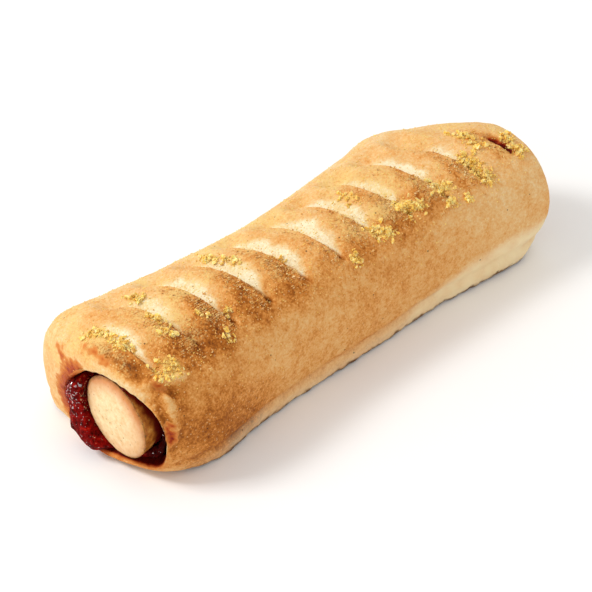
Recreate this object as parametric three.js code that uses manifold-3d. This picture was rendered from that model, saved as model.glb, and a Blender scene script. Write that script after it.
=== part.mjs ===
// A sausage roll: bread dough baked round a whole sausage that lies in red sauce.
// The dough is one tube, open at both ends, with slashes across its top and coarse crumbs baked on to it.
// Millimetres. +X runs along the roll to its far end, +Z is up, and the roll lies on its flat base.
import * as THREE from "three";
import { mergeVertices } from "three/addons/utils/BufferGeometryUtils.js";
import Module from "manifold-3d";

const { clamp, degToRad, lerp, smoothstep } = THREE.MathUtils;
const FULL_TURN = 2 * Math.PI;
const QUARTER_TURN = Math.PI / 2;

// ---- Driving dimensions ----

// Half widths to the left (+Y) and right (-Y) of the X axis, and height, at stations along the roll.
const STATIONS = [
  { x: -70, left: 31.3, right: 27.7, height: 43.7 },
  { x: -55, left: 28.8, right: 28.1, height: 43.2 },
  { x: -35, left: 27.0, right: 24.4, height: 42.6 },
  { x: -10, left: 25.5, right: 22.7, height: 41.9 },
  { x: 15, left: 27.7, right: 22.0, height: 41.9 },
  { x: 40, left: 31.4, right: 20.9, height: 42.0 },
  { x: 58, left: 34.0, right: 22.0, height: 41.6 },
  { x: 70, left: 20.4, right: 22.7, height: 41.2 },
];
const CROWN_POWER = 2.3; // roundness of the upper half of a section: 2 is an ellipse, more is boxier
const WIDEST_LEVEL = 0.42; // height of the widest level, as a share of the height
const TUCK = 0.1; // how far the side draws in from there down to the base, as a share of the half width
const TUCK_POWER = 2.4;
const FOOT_HEIGHT = 7; // the crease that a flattened foot of dough leaves along both sides
const FOOT_CREASE_DEPTH = 1.1;
const FOOT_CREASE_SPREAD = 1.5;
const BASE_EDGE_RADIUS = 1;

// The roll's two ends. x is where the mouth lies, slant its turn in plan, and radius and power the rounding
// of the dough between the mouth and the full body, on the left, on the right and over the top.
const NEAR_END = {
  x: -82.5,
  slant: 0.1,
  radius: { left: 12.5, right: 27.5, top: 15.5 },
  power: { left: 2.5, right: 1.4, top: 2.9 },
};
const FAR_END = {
  x: 85.3,
  slant: 0.01,
  radius: { left: 27.3, right: 9.5, top: 14.6 },
  power: { left: 1.25, right: 2.6, top: 1.68 },
};
const FAR_FOOT_POWER = 1.3; // the far end's lower corner is rounder than its side

// The sausage and the bore that it lies in follow one gently bent line.
const SAUSAGE_RADIUS = 13.5;
const SAUSAGE_CENTRE_HEIGHT = 20.1;
const SAUSAGE_LINE = [
  { x: -82, y: -8.1 },
  { x: -45, y: -2.2 },
  { x: 0, y: 1.2 },
  { x: 40, y: 2.2 },
  { x: 86, y: -4.5 },
];
const SAUSAGE_FACE = { near: -80.1, far: 83 };
const SAUSAGE_FACE_BULGE = 0.7;
const SAUSAGE_EDGE_RADIUS = 0.9;
const CLEARANCE = 0.4; // gap between touching pieces
const SAUCE_THICKNESS = 1.4;
const BORE_RADIUS = SAUSAGE_RADIUS + SAUCE_THICKNESS + 2 * CLEARANCE;
const MOUTH_RADIUS = 16.5;
const MOUTH_DEPTH = 16; // over which a mouth narrows evenly to the bore
const LIP_RADIUS = 1.2;
const LOWEST_LIP = 1.2; // height of a mouth's lower edge over the base

// The near mouth, by angles seen from the sausage's line, from the left side over the top. It is torn wider
// on the left, and a little at the lower right. Elsewhere it closes on the sausage.
const TEARS = [
  { angle: degToRad(-27), halfAngle: degToRad(39), depth: 5.8 },
  { angle: degToRad(105), halfAngle: degToRad(34), depth: -1.8 },
  { angle: degToRad(170), halfAngle: degToRad(30), depth: -0.9 },
  { angle: degToRad(220), halfAngle: degToRad(18), depth: 1.8 },
  { angle: degToRad(268), halfAngle: degToRad(24), depth: -1.2 },
];
// How far its lip lies back.
const SET_BACKS = [
  { angle: degToRad(192), halfAngle: degToRad(75), depth: 5.6 },
  { angle: degToRad(-28), halfAngle: degToRad(34), depth: 2.8 },
];

// Slashes across the top, by where each crosses the X axis.
const FIRST_SLASH = -58.5;
const SLASH_PITCH = 14.6;
const REGULAR_SLASHES = 9;
const END_SLASH = -74.6; // a shallow one on the near end's shoulder
const VENT = 75; // the deep, narrow slit near the far end
const SLASH_SLANT = 0.28; // forward run for each millimetre across
const SLANT_REACH = 17; // how far to the right the run goes on
const SLASH_HOOK = 0.04; // extra curve of a slash's left end
const SLASH_HOOK_REACH = 9;
const SLASH_SPREAD = { left: -0.21, right: 0.25 }; // its ends, as positions round the section
const SLASH_TIP = 0.065; // over which its depth fades at either end
const SLASH_THIN = 0.16; // over which its slope narrows towards the right end
const SLASH_DEPTH = 2.3;
const SLASH_BANK = 1.1; // steep bank under the crust's edge
const SLASH_SLOPE = 8; // long slope of opened dough beyond it
const RIDGE = { height: 0.6, back: 4.6, spread: 2.6 }; // crust that swells before each slash
const RIDGE_FADE = { from: 0.12, to: 0.26 }; // positions round the section
const TOP_FADE = { from: 0.27, to: 0.46 }; // where rings stop following the slashes
const VENT_DEPTH = 4.5;
const VENT_BANK = 1.5;
const VENT_SLOPE = 3.6;
const VENT_SPREAD = { left: 0.0, right: 0.27 };

// The sauce's face at the near mouth, by direction seen from the sausage's line, as distances in front of
// the sausage's face: it wells out on the left, leaves a gap at the top, and pools behind the lip on the
// right and at the bottom.
const SAUCE_WELL = { front: 3.6, from: degToRad(-71), to: degToRad(25), soft: degToRad(9) };
const SAUCE_GAP = { front: -12, angle: degToRad(53), halfAngle: degToRad(16) };
const SAUCE_POOL = { behindLip: 0.4, from: degToRad(112), to: degToRad(330), soft: degToRad(14) };
const SAUCE_REST = -6.5;
const SAUCE_FAR_REST = 3; // how far it lies back at the far mouth
const SAUCE_LUMPS = [
  { height: 0.6, count: 5, start: 0 },
  { height: 0.36, count: 11, start: 2 },
];
const SAUCE_EDGE = 0.5; // its faces' bevel
const SAUCE_FILL = 0.8; // of the room between the bore and a mouth

// Coarse crumbs baked on to the crust.
const CRUMBS = 54;
const CRUMB_RADIUS = { smallest: 0.6, largest: 1.15 };
const CRUMB_SPREAD = { left: -0.2, right: 0.25 }; // positions round the section
const CRUMB_DRIFT = 3.5; // how many rings a crumb may lie past a slash's first ring
const CRUMB_RISE = 0.25; // its centre's height over the crust, as a share of its radius
const CRUMB_SHAPE = { flat: 0.7, narrow: 0.8, wide: 1.25 };
const CRUMB_SEED = 11;

// Facets.
const AROUND = 44;
const END_RINGS = 7;
const LIP_RINGS = 3;
const LINE_STEPS = 10; // between the two depths where the mouths have narrowed to the bore
const SAUSAGE_SIDES = 28;
const SAUSAGE_EDGE_STEPS = 3;
const SLASH_RINGS = [-4.4, -1.7, -0.2, 2.2, 5.0, 7.8]; // ring places before and beyond each slash

// A section is walked from its top centre (0) to its base centre (1 on the right, -1 on the left).
const SIDE_SHARE = 12 / 22; // the widest level
const BASE_SHARE = 18 / 22; // the base's edge

// ---- Helpers ----

// Evenly spread numbers from 0 to 1, the same ones on every run.
function seeded(seed) {
  const range = 2 ** 32;
  let state = seed;
  return () => {
    state = (state * 1664525 + 1013904223) % range;
    return state / range;
  };
}

// A smooth curve through rows that hold x and a value under the given key.
function follow(rows, key, x) {
  const at = clamp(x, rows[0].x, rows.at(-1).x);
  const i = clamp(rows.findLastIndex((row) => row.x <= at), 0, rows.length - 2);
  const steepness = (k) => {
    const a = rows[Math.max(k - 1, 0)];
    const b = rows[Math.min(k + 1, rows.length - 1)];
    return (b[key] - a[key]) / (b.x - a.x);
  };
  const span = rows[i + 1].x - rows[i].x;
  const t = (at - rows[i].x) / span;
  return (
    (1 + 2 * t) * (1 - t) ** 2 * rows[i][key] +
    t * (1 - t) ** 2 * span * steepness(i) +
    t * t * (3 - 2 * t) * rows[i + 1][key] +
    t * t * (t - 1) * span * steepness(i + 1)
  );
}

const bell = (x, spread) => Math.exp(-((x / spread) ** 2));
const boreY = (x) => follow(SAUSAGE_LINE, "y", x);

// A position round the section for a share of a full turn that starts at the left side.
function walkAt(share) {
  const fromTop = share - 0.25;
  return fromTop <= 0.5 ? 2 * fromTop : 2 * fromTop - 2;
}

// A closed tube's grid, whose columns run round the roll and whose rings run along its skin and back
// through its bore. Every vertex is then put where its ring's function says.
function tube(rings, columns) {
  const geometry = new THREE.TorusGeometry(2, 1, rings.length, columns);
  const { position, uv } = geometry.attributes;
  for (let i = 0; i < position.count; i++) {
    const ring = rings[Math.round(uv.getY(i) * rings.length) % rings.length];
    const column = Math.round(uv.getX(i) * columns) % columns;
    position.setXYZ(i, ...ring(column / columns));
  }
  return geometry;
}

// ---- Dough ----

// The body's section at x, at a position round it, without its end rounding and its slashes.
function section(x, walk) {
  const half = follow(STATIONS, walk > 0 ? "right" : "left", x);
  const height = follow(STATIONS, "height", x);
  const widest = WIDEST_LEVEL * height;
  const way = Math.abs(walk);
  const sideAt = (z) => {
    const inBase = 1 - clamp(z, 0, BASE_EDGE_RADIUS) / BASE_EDGE_RADIUS;
    return (
      half * (1 - TUCK * (1 - z / widest) ** TUCK_POWER) -
      FOOT_CREASE_DEPTH * bell(z - FOOT_HEIGHT, FOOT_CREASE_SPREAD) -
      BASE_EDGE_RADIUS * (1 - Math.sqrt(1 - inBase ** 2))
    );
  };
  let y;
  let z;
  if (way <= SIDE_SHARE) {
    const turn = (way / SIDE_SHARE) * QUARTER_TURN;
    y = half * Math.sin(turn) ** (2 / CROWN_POWER);
    z = widest + (height - widest) * Math.max(Math.cos(turn), 0) ** (2 / CROWN_POWER);
  } else if (way <= BASE_SHARE) {
    z = (widest * (BASE_SHARE - way)) / (BASE_SHARE - SIDE_SHARE);
    y = sideAt(z);
  } else {
    z = 0;
    y = (sideAt(0) * (1 - way)) / (1 - BASE_SHARE);
  }
  return { y: walk > 0 ? -y : y, z };
}

// A value given for the left, the right and the top of an end, blended round the section.
function blended(values, walk) {
  const way = Math.abs(walk);
  const top = way > SIDE_SHARE ? 0 : Math.cos((way / SIDE_SHARE) * QUARTER_TURN) ** 2;
  const acrossBase = clamp((way - BASE_SHARE) / (1 - BASE_SHARE), 0, 1) / 2;
  const [own, other] = walk > 0 ? [values.right, values.left] : [values.left, values.right];
  return top * values.top + (1 - top) * lerp(own, other, acrossBase);
}

// The direction of a position round the section, as seen from the sausage's line at an end.
function directionAt(end, walk) {
  const from = section(shoulder(end, walk), walk);
  return new THREE.Vector2(from.y - boreY(end.x), from.z - SAUSAGE_CENTRE_HEIGHT).normalize();
}

// Where an end's rounding starts.
function shoulder(end, walk) {
  return end.x - Math.sign(end.x) * blended(end.radius, walk);
}

// A swelling round the sausage's line, which fades to both sides of its angle.
function swelling({ angle, halfAngle, depth }, direction) {
  const off = direction.angle() - angle;
  return depth * bell(Math.atan2(Math.sin(off), Math.cos(off)), halfAngle);
}

// How far the mouth's edge lies from the sausage's line.
function mouthRadius(end, direction) {
  if (end === FAR_END) return MOUTH_RADIUS;
  return TEARS.reduce((radius, tear) => radius + swelling(tear, direction), MOUTH_RADIUS);
}

function mouthPoint(end, direction, extra) {
  const radius = mouthRadius(end, direction) + extra;
  const y = boreY(end.x) + radius * direction.x;
  const z = SAUSAGE_CENTRE_HEIGHT + radius * direction.y;
  const setBacks = end === NEAR_END ? SET_BACKS : [];
  const back = setBacks.reduce((sum, setBack) => sum + swelling(setBack, direction), 0);
  return new THREE.Vector3(end.x - end.slant * y + back, y, Math.max(z, LOWEST_LIP));
}

// The rounded dough of an end: open 0 is at the mouth's lip, and 1 where the full body starts.
function endPoint(end, walk, open) {
  const start = shoulder(end, walk);
  const full = section(start, walk);
  const lip = mouthPoint(end, directionAt(end, walk), LIP_RADIUS);
  const foot = end === FAR_END ? smoothstep(Math.abs(walk), SIDE_SHARE, BASE_SHARE) : 0;
  const power = 2 / lerp(blended(end.power, walk), FAR_FOOT_POWER, foot);
  const out = Math.sin(open * QUARTER_TURN) ** power;
  const along = Math.max(Math.cos(open * QUARTER_TURN), 0) ** power;
  return new THREE.Vector3(
    lerp(start, lip.x, along),
    lerp(lip.y, full.y, out),
    lerp(lip.z, full.z, out),
  );
}

const onTop = (walk) => 1 - smoothstep(Math.abs(walk), TOP_FADE.from, TOP_FADE.to);

// How far a slash runs forward at a position round the section.
function slashRun(walk) {
  const { y } = section(0, walk);
  const hooked = clamp(y, 0, SLASH_HOOK_REACH);
  const run = -SLASH_SLANT * clamp(y, -SLANT_REACH, SLASH_HOOK_REACH) - SLASH_HOOK * hooked ** 2;
  return run * onTop(walk);
}

// Depth of one slash, where gone is the distance beyond its edge.
function slashDepth(gone, walk, { depth, bank, slope, spread }) {
  const reach =
    smoothstep(walk, spread.left, spread.left + SLASH_TIP) *
    (1 - smoothstep(walk, spread.right - SLASH_TIP, spread.right));
  const narrowed = lerp(slope, 3 * bank, smoothstep(walk, spread.right - SLASH_THIN, spread.right));
  const cut = gone < 0 ? bell(gone, bank) : 1 - smoothstep(gone, 0, narrowed);
  return depth * cut * reach;
}

const regular = {
  depth: SLASH_DEPTH,
  bank: SLASH_BANK,
  slope: SLASH_SLOPE,
  spread: SLASH_SPREAD,
};
const slashes = Array.from({ length: REGULAR_SLASHES }, (_, i) => ({
  ...regular,
  x: FIRST_SLASH + i * SLASH_PITCH,
}));
slashes.push({ ...regular, x: END_SLASH, depth: 0.6 * SLASH_DEPTH });
slashes.push({
  x: VENT,
  depth: VENT_DEPTH,
  bank: VENT_BANK,
  slope: VENT_SLOPE,
  spread: VENT_SPREAD,
});

// Moves a point of the skin in by the slashes and out by the ridges between them.
function carved(point, walk) {
  const place = point.x - slashRun(walk);
  const ridged = RIDGE.height * (1 - smoothstep(Math.abs(walk), RIDGE_FADE.from, RIDGE_FADE.to));
  let cut = 0;
  let raised = 0;
  for (const slash of slashes) {
    const gone = place - slash.x;
    cut = Math.max(cut, slashDepth(gone, walk, slash));
    raised = Math.max(raised, ridged * bell(gone + RIDGE.back, RIDGE.spread));
  }
  const core = new THREE.Vector3(point.x, boreY(point.x), SAUSAGE_CENTRE_HEIGHT);
  return point.addScaledVector(core.sub(point).normalize(), cut - raised);
}

// A ring of the body between the two shoulders. Over the top it runs along the slashes.
function bodyPoint(place, walk) {
  const from = shoulder(NEAR_END, walk);
  const topFrom = shoulder(NEAR_END, 0);
  const share = (place - topFrom) / (shoulder(FAR_END, 0) - topFrom);
  const evenly = lerp(from, shoulder(FAR_END, walk), share);
  const x = lerp(evenly, place + slashRun(walk), onTop(walk));
  const { y, z } = section(x, walk);
  return new THREE.Vector3(x, y, z);
}

// The skin from the near lip to the far lip, ring by ring.
function skinRings() {
  const near = Array.from({ length: END_RINGS + 1 }, (_, i) => i / END_RINGS);
  const far = [...near].reverse();
  const places = slashes
    .slice(0, REGULAR_SLASHES)
    .flatMap((slash) => SLASH_RINGS.map((step) => slash.x + step))
    .slice(1);
  return [
    ...near.map((open) => (walk) => endPoint(NEAR_END, walk, open)),
    ...places.map((place) => (walk) => bodyPoint(place, walk)),
    ...far.map((open) => (walk) => endPoint(FAR_END, walk, open)),
  ].map((ring) => (walk) => carved(ring(walk), walk));
}

// A lip turns from the skin into the mouth.
function lipPoint(end, direction, turned) {
  const turn = turned * QUARTER_TURN;
  const edge = mouthPoint(end, direction, LIP_RADIUS * (1 - Math.sin(turn)));
  edge.x -= Math.sign(end.x) * LIP_RADIUS * (1 - Math.cos(turn));
  return edge;
}

// Places along the sausage's line where the bore, the sauce and the sausage have a ring each.
const linePlaces = Array.from({ length: LINE_STEPS + 1 }, (_, i) =>
  lerp(NEAR_END.x + MOUTH_DEPTH, FAR_END.x - MOUTH_DEPTH, i / LINE_STEPS),
);

// The bore's radius at x in a direction: it widens evenly towards both mouths.
function boreRadius(x, direction) {
  const end = x < 0 ? NEAR_END : FAR_END;
  const narrow = x < 0 ? linePlaces[0] : linePlaces.at(-1);
  const widened = clamp((x - narrow) / (lipPoint(end, direction, 1).x - narrow), 0, 1);
  return lerp(BORE_RADIUS, mouthRadius(end, direction), widened);
}

// A point round the sausage's line.
function roundLine(x, radius, direction) {
  return new THREE.Vector3(
    x,
    boreY(x) + radius * direction.x,
    SAUSAGE_CENTRE_HEIGHT + radius * direction.y,
  );
}

// The direction of a position round the section, as seen from the sausage's line anywhere along it.
function directionAlong(x, walk) {
  const share = (x - NEAR_END.x) / (FAR_END.x - NEAR_END.x);
  return directionAt(NEAR_END, walk).lerp(directionAt(FAR_END, walk), clamp(share, 0, 1)).normalize();
}

function doughRings() {
  const turns = Array.from({ length: LIP_RINGS }, (_, i) => (i + 1) / LIP_RINGS);
  const lip = (end, turned) => (walk) => lipPoint(end, directionAt(end, walk), turned);
  const wall = (x) => (walk) => roundLine(x, BORE_RADIUS, directionAlong(x, walk));
  return [
    ...skinRings(),
    ...turns.map((turned) => lip(FAR_END, turned)),
    ...linePlaces.toReversed().map(wall),
    ...turns.toReversed().map((turned) => lip(NEAR_END, turned)),
  ].map((ring) => (share) => ring(walkAt(share)));
}

// ---- Sauce ----

// 1 between two angles, which fades at both.
const between = (angle, { from, to, soft }) =>
  smoothstep(angle, from - soft, from + soft) * (1 - smoothstep(angle, to - soft, to + soft));

// Where the sauce's two faces lie in a direction.
function sauceFaces(direction) {
  const turned = direction.angle();
  const angle = turned > 0.75 * FULL_TURN ? turned - FULL_TURN : turned;
  const lumps = SAUCE_LUMPS.reduce(
    (sum, { height, count, start }) => sum + height * Math.sin(count * angle + start),
    0,
  );
  const gap = (SAUCE_GAP.front - SAUCE_REST) * bell(angle - SAUCE_GAP.angle, SAUCE_GAP.halfAngle);
  const pool = SAUSAGE_FACE.near - lipPoint(NEAR_END, direction, 1).x - SAUCE_POOL.behindLip;
  const resting = lerp(SAUCE_REST + gap, pool, between(turned, SAUCE_POOL));
  return {
    near: SAUSAGE_FACE.near - lerp(resting, SAUCE_WELL.front + lumps, between(angle, SAUCE_WELL)),
    far: SAUSAGE_FACE.far - SAUCE_FAR_REST + lumps,
  };
}

// A sleeve round the sausage. Its skin keeps a clearance to the bore, and its inside to the sausage.
function sauceRings() {
  const inner = SAUSAGE_RADIUS + CLEARANCE;
  const at = (x, direction, outside) => {
    const bore = boreRadius(x, direction);
    const outer = Math.min(bore, lerp(BORE_RADIUS, bore, SAUCE_FILL)) - CLEARANCE;
    return roundLine(x, lerp(inner, outer, outside), direction);
  };
  const near = (back, outside) => (walk) => {
    const direction = directionAt(NEAR_END, walk);
    return at(sauceFaces(direction).near + back, direction, outside);
  };
  const far = (back, outside) => (walk) => {
    const direction = directionAt(FAR_END, walk);
    return at(sauceFaces(direction).far - back, direction, outside);
  };
  const sleeve = (outside) => linePlaces.map((x) => (walk) => at(x, directionAlong(x, walk), outside));
  return [
    near(0, 0.8),
    near(SAUCE_EDGE, 1),
    ...sleeve(1),
    far(SAUCE_EDGE, 1),
    far(0, 0.8),
    far(0, 0.2),
    far(SAUCE_EDGE, 0),
    ...sleeve(0).reverse(),
    near(SAUCE_EDGE, 0),
    near(0, 0.2),
  ].map((ring) => (share) => ring(walkAt(share)));
}

// ---- Sausage ----

function sausageGeometry() {
  const { near, far } = SAUSAGE_FACE;
  const edge = SAUSAGE_EDGE_RADIUS;
  const profile = new THREE.Path()
    .moveTo(0, near - SAUSAGE_FACE_BULGE)
    .quadraticCurveTo(SAUSAGE_RADIUS - 3 * edge, near - SAUSAGE_FACE_BULGE, SAUSAGE_RADIUS - edge, near)
    .quadraticCurveTo(SAUSAGE_RADIUS, near, SAUSAGE_RADIUS, near + edge);
  const points = profile.getPoints(SAUSAGE_EDGE_STEPS);
  for (const x of linePlaces) points.push(new THREE.Vector2(SAUSAGE_RADIUS, x));
  points.push(new THREE.Vector2(SAUSAGE_RADIUS, far - edge));
  points.push(new THREE.Vector2(SAUSAGE_RADIUS - edge, far));
  points.push(new THREE.Vector2(0, far));
  const geometry = new THREE.LatheGeometry(points, SAUSAGE_SIDES);
  const { position } = geometry.attributes;
  for (let i = 0; i < position.count; i++) {
    const [across, x, up] = [position.getX(i), position.getY(i), position.getZ(i)];
    position.setXYZ(i, x, boreY(x) - across, SAUSAGE_CENTRE_HEIGHT + up);
  }
  return geometry;
}

// ---- Solids ----

const wasm = await Module();
wasm.setup();

function solid(geometry) {
  geometry.deleteAttribute("normal");
  geometry.deleteAttribute("uv");
  const merged = mergeVertices(geometry);
  return new wasm.Manifold(
    new wasm.Mesh({
      numProp: 3,
      vertProperties: merged.attributes.position.array,
      triVerts: new Uint32Array(merged.index.array),
    }),
  );
}

function geometryOf(body) {
  const { vertProperties, triVerts } = body.getMesh();
  return new THREE.BufferGeometry()
    .setAttribute("position", new THREE.BufferAttribute(vertProperties, 3))
    .setIndex(new THREE.BufferAttribute(triVerts, 1));
}

// A lumpy crumb, sunk a little into the crust. Most lie in and beside the slashes.
function crumb(skin, random, radius) {
  const walk = lerp(CRUMB_SPREAD.left, CRUMB_SPREAD.right, random());
  const slash = Math.floor(random() * (REGULAR_SLASHES + 1));
  const ring = END_RINGS - 1 + SLASH_RINGS.length * slash + CRUMB_DRIFT * random();
  const before = Math.floor(ring);
  const centre = skin[before](walk).lerp(skin[before + 1](walk), ring - before);
  const outward = centre.clone().sub(roundLine(centre.x, 0, new THREE.Vector2())).normalize();
  centre.addScaledVector(outward, CRUMB_RISE * radius);
  const { flat, narrow, wide } = CRUMB_SHAPE;
  const geometry = new THREE.IcosahedronGeometry(radius);
  geometry.scale(lerp(narrow, wide, random()), lerp(narrow, wide, random()), lerp(flat, 1, random()));
  geometry.rotateZ(random() * FULL_TURN);
  geometry.translate(centre.x, centre.y, centre.z);
  return solid(geometry);
}

function doughWithCrumbs() {
  const random = seeded(CRUMB_SEED);
  const skin = skinRings();
  let body = solid(tube(doughRings(), AROUND));
  for (let i = 0; i < CRUMBS; i++) {
    const radius = lerp(CRUMB_RADIUS.largest, CRUMB_RADIUS.smallest, i / CRUMBS);
    body = body.add(crumb(skin, random, radius));
  }
  return body;
}

// ---- The part ----

const crust = new THREE.MeshStandardMaterial({ color: 0xd49a58, roughness: 0.75, metalness: 0 });
const redSauce = new THREE.MeshStandardMaterial({ color: 0x7a1208, roughness: 0.25, metalness: 0 });
const sausageMeat = new THREE.MeshStandardMaterial({ color: 0xf0cf98, roughness: 0.5, metalness: 0 });

const roll = new THREE.Group();
const pieces = {
  dough: [geometryOf(doughWithCrumbs()), crust],
  sauce: [geometryOf(solid(tube(sauceRings(), AROUND))), redSauce],
  sausage: [geometryOf(solid(sausageGeometry())), sausageMeat],
};
for (const [name, [geometry, material]] of Object.entries(pieces)) {
  const mesh = new THREE.Mesh(geometry, material);
  mesh.name = name;
  roll.add(mesh);
}

// The origin is at the bottom centre of the whole roll's box.
const box = new THREE.Box3().setFromObject(roll);
const middle = box.getCenter(new THREE.Vector3());
roll.position.set(-middle.x, -middle.y, -box.min.z);

export default roll;
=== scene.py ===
# %% [markdown]
# # A sausage roll
#
# Bread dough is wrapped round a whole sausage that lies in red sauce, slashed across the top, strewn with
# coarse crumbs and baked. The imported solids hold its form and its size. This lesson gives it what an oven
# and a cook leave on it: a blotched crust, pale dough in the opened slashes, sticky sauce and crumbs. Each
# cell first says what the real thing is, then makes it in millimetres and puts it where the solids are.

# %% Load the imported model
import math

import bpy
import numpy as np
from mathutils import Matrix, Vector, kdtree, noise


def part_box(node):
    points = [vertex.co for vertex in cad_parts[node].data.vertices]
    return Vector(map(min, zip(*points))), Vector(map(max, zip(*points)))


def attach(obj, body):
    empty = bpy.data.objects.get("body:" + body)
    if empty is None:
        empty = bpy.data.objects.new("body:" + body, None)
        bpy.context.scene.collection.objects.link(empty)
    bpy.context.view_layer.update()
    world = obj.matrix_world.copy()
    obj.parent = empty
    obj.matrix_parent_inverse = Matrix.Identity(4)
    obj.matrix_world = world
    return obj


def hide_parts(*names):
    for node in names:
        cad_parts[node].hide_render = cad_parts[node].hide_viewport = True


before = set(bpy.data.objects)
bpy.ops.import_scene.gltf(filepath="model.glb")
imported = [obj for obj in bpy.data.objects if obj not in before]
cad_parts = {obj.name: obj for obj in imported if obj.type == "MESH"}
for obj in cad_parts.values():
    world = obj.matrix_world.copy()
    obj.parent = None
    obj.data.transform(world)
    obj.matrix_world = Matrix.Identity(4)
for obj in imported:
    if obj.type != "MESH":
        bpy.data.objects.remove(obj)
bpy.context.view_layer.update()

MM = 0.001

# %% [markdown]
# ## The roll's form
#
# A roll like this has no straight line in it, but its form is regular: a section with a flat base and a
# rounded crown, whose two half widths and height change slowly along the roll. A few measured stations
# give those, and a smooth curve runs through them. The crumbs, the slashes and the browning all have to
# sit on this form, so it is written as functions of two numbers. One is a place along the roll. The other,
# `walk`, goes round a section from its top centre (0) to its base centre, which is 1 by way of the right
# side and -1 by way of the left.

# %% Stations along the roll
QUARTER_TURN = math.pi / 2
FULL_TURN = 2 * math.pi

LEFT, RIGHT, HEIGHT = 1, 2, 3  # columns of the stations, after x
STATIONS = np.array([
    (-70, 31.3, 27.7, 43.7),
    (-55, 28.8, 28.1, 43.2),
    (-35, 27.0, 24.4, 42.6),
    (-10, 25.5, 22.7, 41.9),
    (15, 27.7, 22.0, 41.9),
    (40, 31.4, 20.9, 42.0),
    (58, 34.0, 22.0, 41.6),
    (70, 20.4, 22.7, 41.2),
])
SAUSAGE_LINE = np.array([(-82, -8.1), (-45, -2.2), (0, 1.2), (40, 2.2), (86, -4.5)])


def follow(rows, column, x):
    """A smooth curve through rows that start with x."""
    knots, values = rows[:, 0], rows[:, column]
    last = len(rows) - 1
    before, after = np.maximum(np.arange(last + 1) - 1, 0), np.minimum(np.arange(last + 1) + 1, last)
    slope = (values[after] - values[before]) / (knots[after] - knots[before])
    x = np.clip(x, knots[0], knots[-1])
    i = np.clip(np.searchsorted(knots, x, side="right") - 1, 0, last - 1)
    span = knots[i + 1] - knots[i]
    t = (x - knots[i]) / span
    start = (1 + 2 * t) * (1 - t) ** 2 * values[i] + t * (1 - t) ** 2 * span * slope[i]
    return start + t * t * (3 - 2 * t) * values[i + 1] + t * t * (t - 1) * span * slope[i + 1]


def smooth(low, high, value):
    """0 below low, 1 above high, and a soft step between."""
    t = np.clip((value - low) / (high - low), 0, 1)
    return t * t * (3 - 2 * t)


def bell(value, spread):
    return np.exp(-((value / spread) ** 2))


def bore_y(x):
    """Where the sausage's bent line lies across the roll."""
    return follow(SAUSAGE_LINE, 1, x)


# %% The section
CROWN_POWER = 2.3
WIDEST_LEVEL = 0.42
TUCK, TUCK_POWER = 0.1, 2.4
FOOT_HEIGHT, FOOT_CREASE_DEPTH, FOOT_CREASE_SPREAD = 7, 1.1, 1.5
BASE_EDGE_RADIUS = 1
SIDE_SHARE, BASE_SHARE = 12 / 22, 18 / 22  # walks of the widest level and of the base's edge


def section(x, walk):
    """y and z of the plain body at x, at a walk round it."""
    half = np.where(walk > 0, follow(STATIONS, RIGHT, x), follow(STATIONS, LEFT, x))
    height = follow(STATIONS, HEIGHT, x)
    widest = WIDEST_LEVEL * height
    way = np.abs(walk)
    turn = np.clip(way / SIDE_SHARE, 0, 1) * QUARTER_TURN
    crown_y = half * np.sin(turn) ** (2 / CROWN_POWER)
    crown_z = widest + (height - widest) * np.maximum(np.cos(turn), 0) ** (2 / CROWN_POWER)
    side_z = widest * np.clip((BASE_SHARE - way) / (BASE_SHARE - SIDE_SHARE), 0, 1)
    under = 1 - np.minimum(side_z, BASE_EDGE_RADIUS) / BASE_EDGE_RADIUS
    side_y = half * (1 - TUCK * (1 - side_z / widest) ** TUCK_POWER)
    side_y = side_y - FOOT_CREASE_DEPTH * bell(side_z - FOOT_HEIGHT, FOOT_CREASE_SPREAD)
    side_y = side_y - BASE_EDGE_RADIUS * (1 - np.sqrt(1 - under**2))
    inward = np.clip((1 - way) / (1 - BASE_SHARE), 0, 1)
    on_crown = way <= SIDE_SHARE
    y = np.where(on_crown, crown_y, side_y * inward)
    return np.where(walk > 0, -y, y), np.where(on_crown, crown_z, side_z)


# %% [markdown]
# ## The two ends
#
# At each end the dough rounds in from the full body to a mouth, where the sausage shows. Both mouths are
# circles round the sausage's line, but the near one has been torn: it is wider on the left, where sauce
# welled out, and its lip lies back on the right. Each tear is a swelling that fades to both sides of an
# angle, seen from the sausage's line, from the left side over the top.

# %% Ends and mouths
CENTRE_HEIGHT = 20.1
MOUTH_RADIUS, MOUTH_DEPTH = 16.5, 16
LIP_RADIUS, LOWEST_LIP = 1.2, 1.2
NEAR_END = dict(x=-82.5, slant=0.1, radius=(12.5, 27.5, 15.5), power=(2.5, 1.4, 2.9))
FAR_END = dict(x=85.3, slant=0.01, radius=(27.3, 9.5, 14.6), power=(1.25, 2.6, 1.68))
FAR_FOOT_POWER = 1.3  # the far end's lower corner is rounder than its side
TEARS = [(-27, 39, 5.8), (105, 34, -1.8), (170, 30, -0.9), (220, 18, 1.8), (268, 24, -1.2)]
SET_BACKS = [(192, 75, 5.6), (-28, 34, 2.8)]


def blended(values, walk):
    """A value given for the left, the right and the top of an end, blended round the section."""
    left, right, top = values
    way = np.abs(walk)
    over = np.where(way > SIDE_SHARE, 0, np.cos(np.minimum(way / SIDE_SHARE, 1) * QUARTER_TURN) ** 2)
    across = np.clip((way - BASE_SHARE) / (1 - BASE_SHARE), 0, 1) / 2
    own, other = np.where(walk > 0, right, left), np.where(walk > 0, left, right)
    return over * top + (1 - over) * (own + (other - own) * across)


def shoulder(end, walk):
    """Where the rounding of an end starts."""
    return end["x"] - math.copysign(1, end["x"]) * blended(end["radius"], walk)


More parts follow.
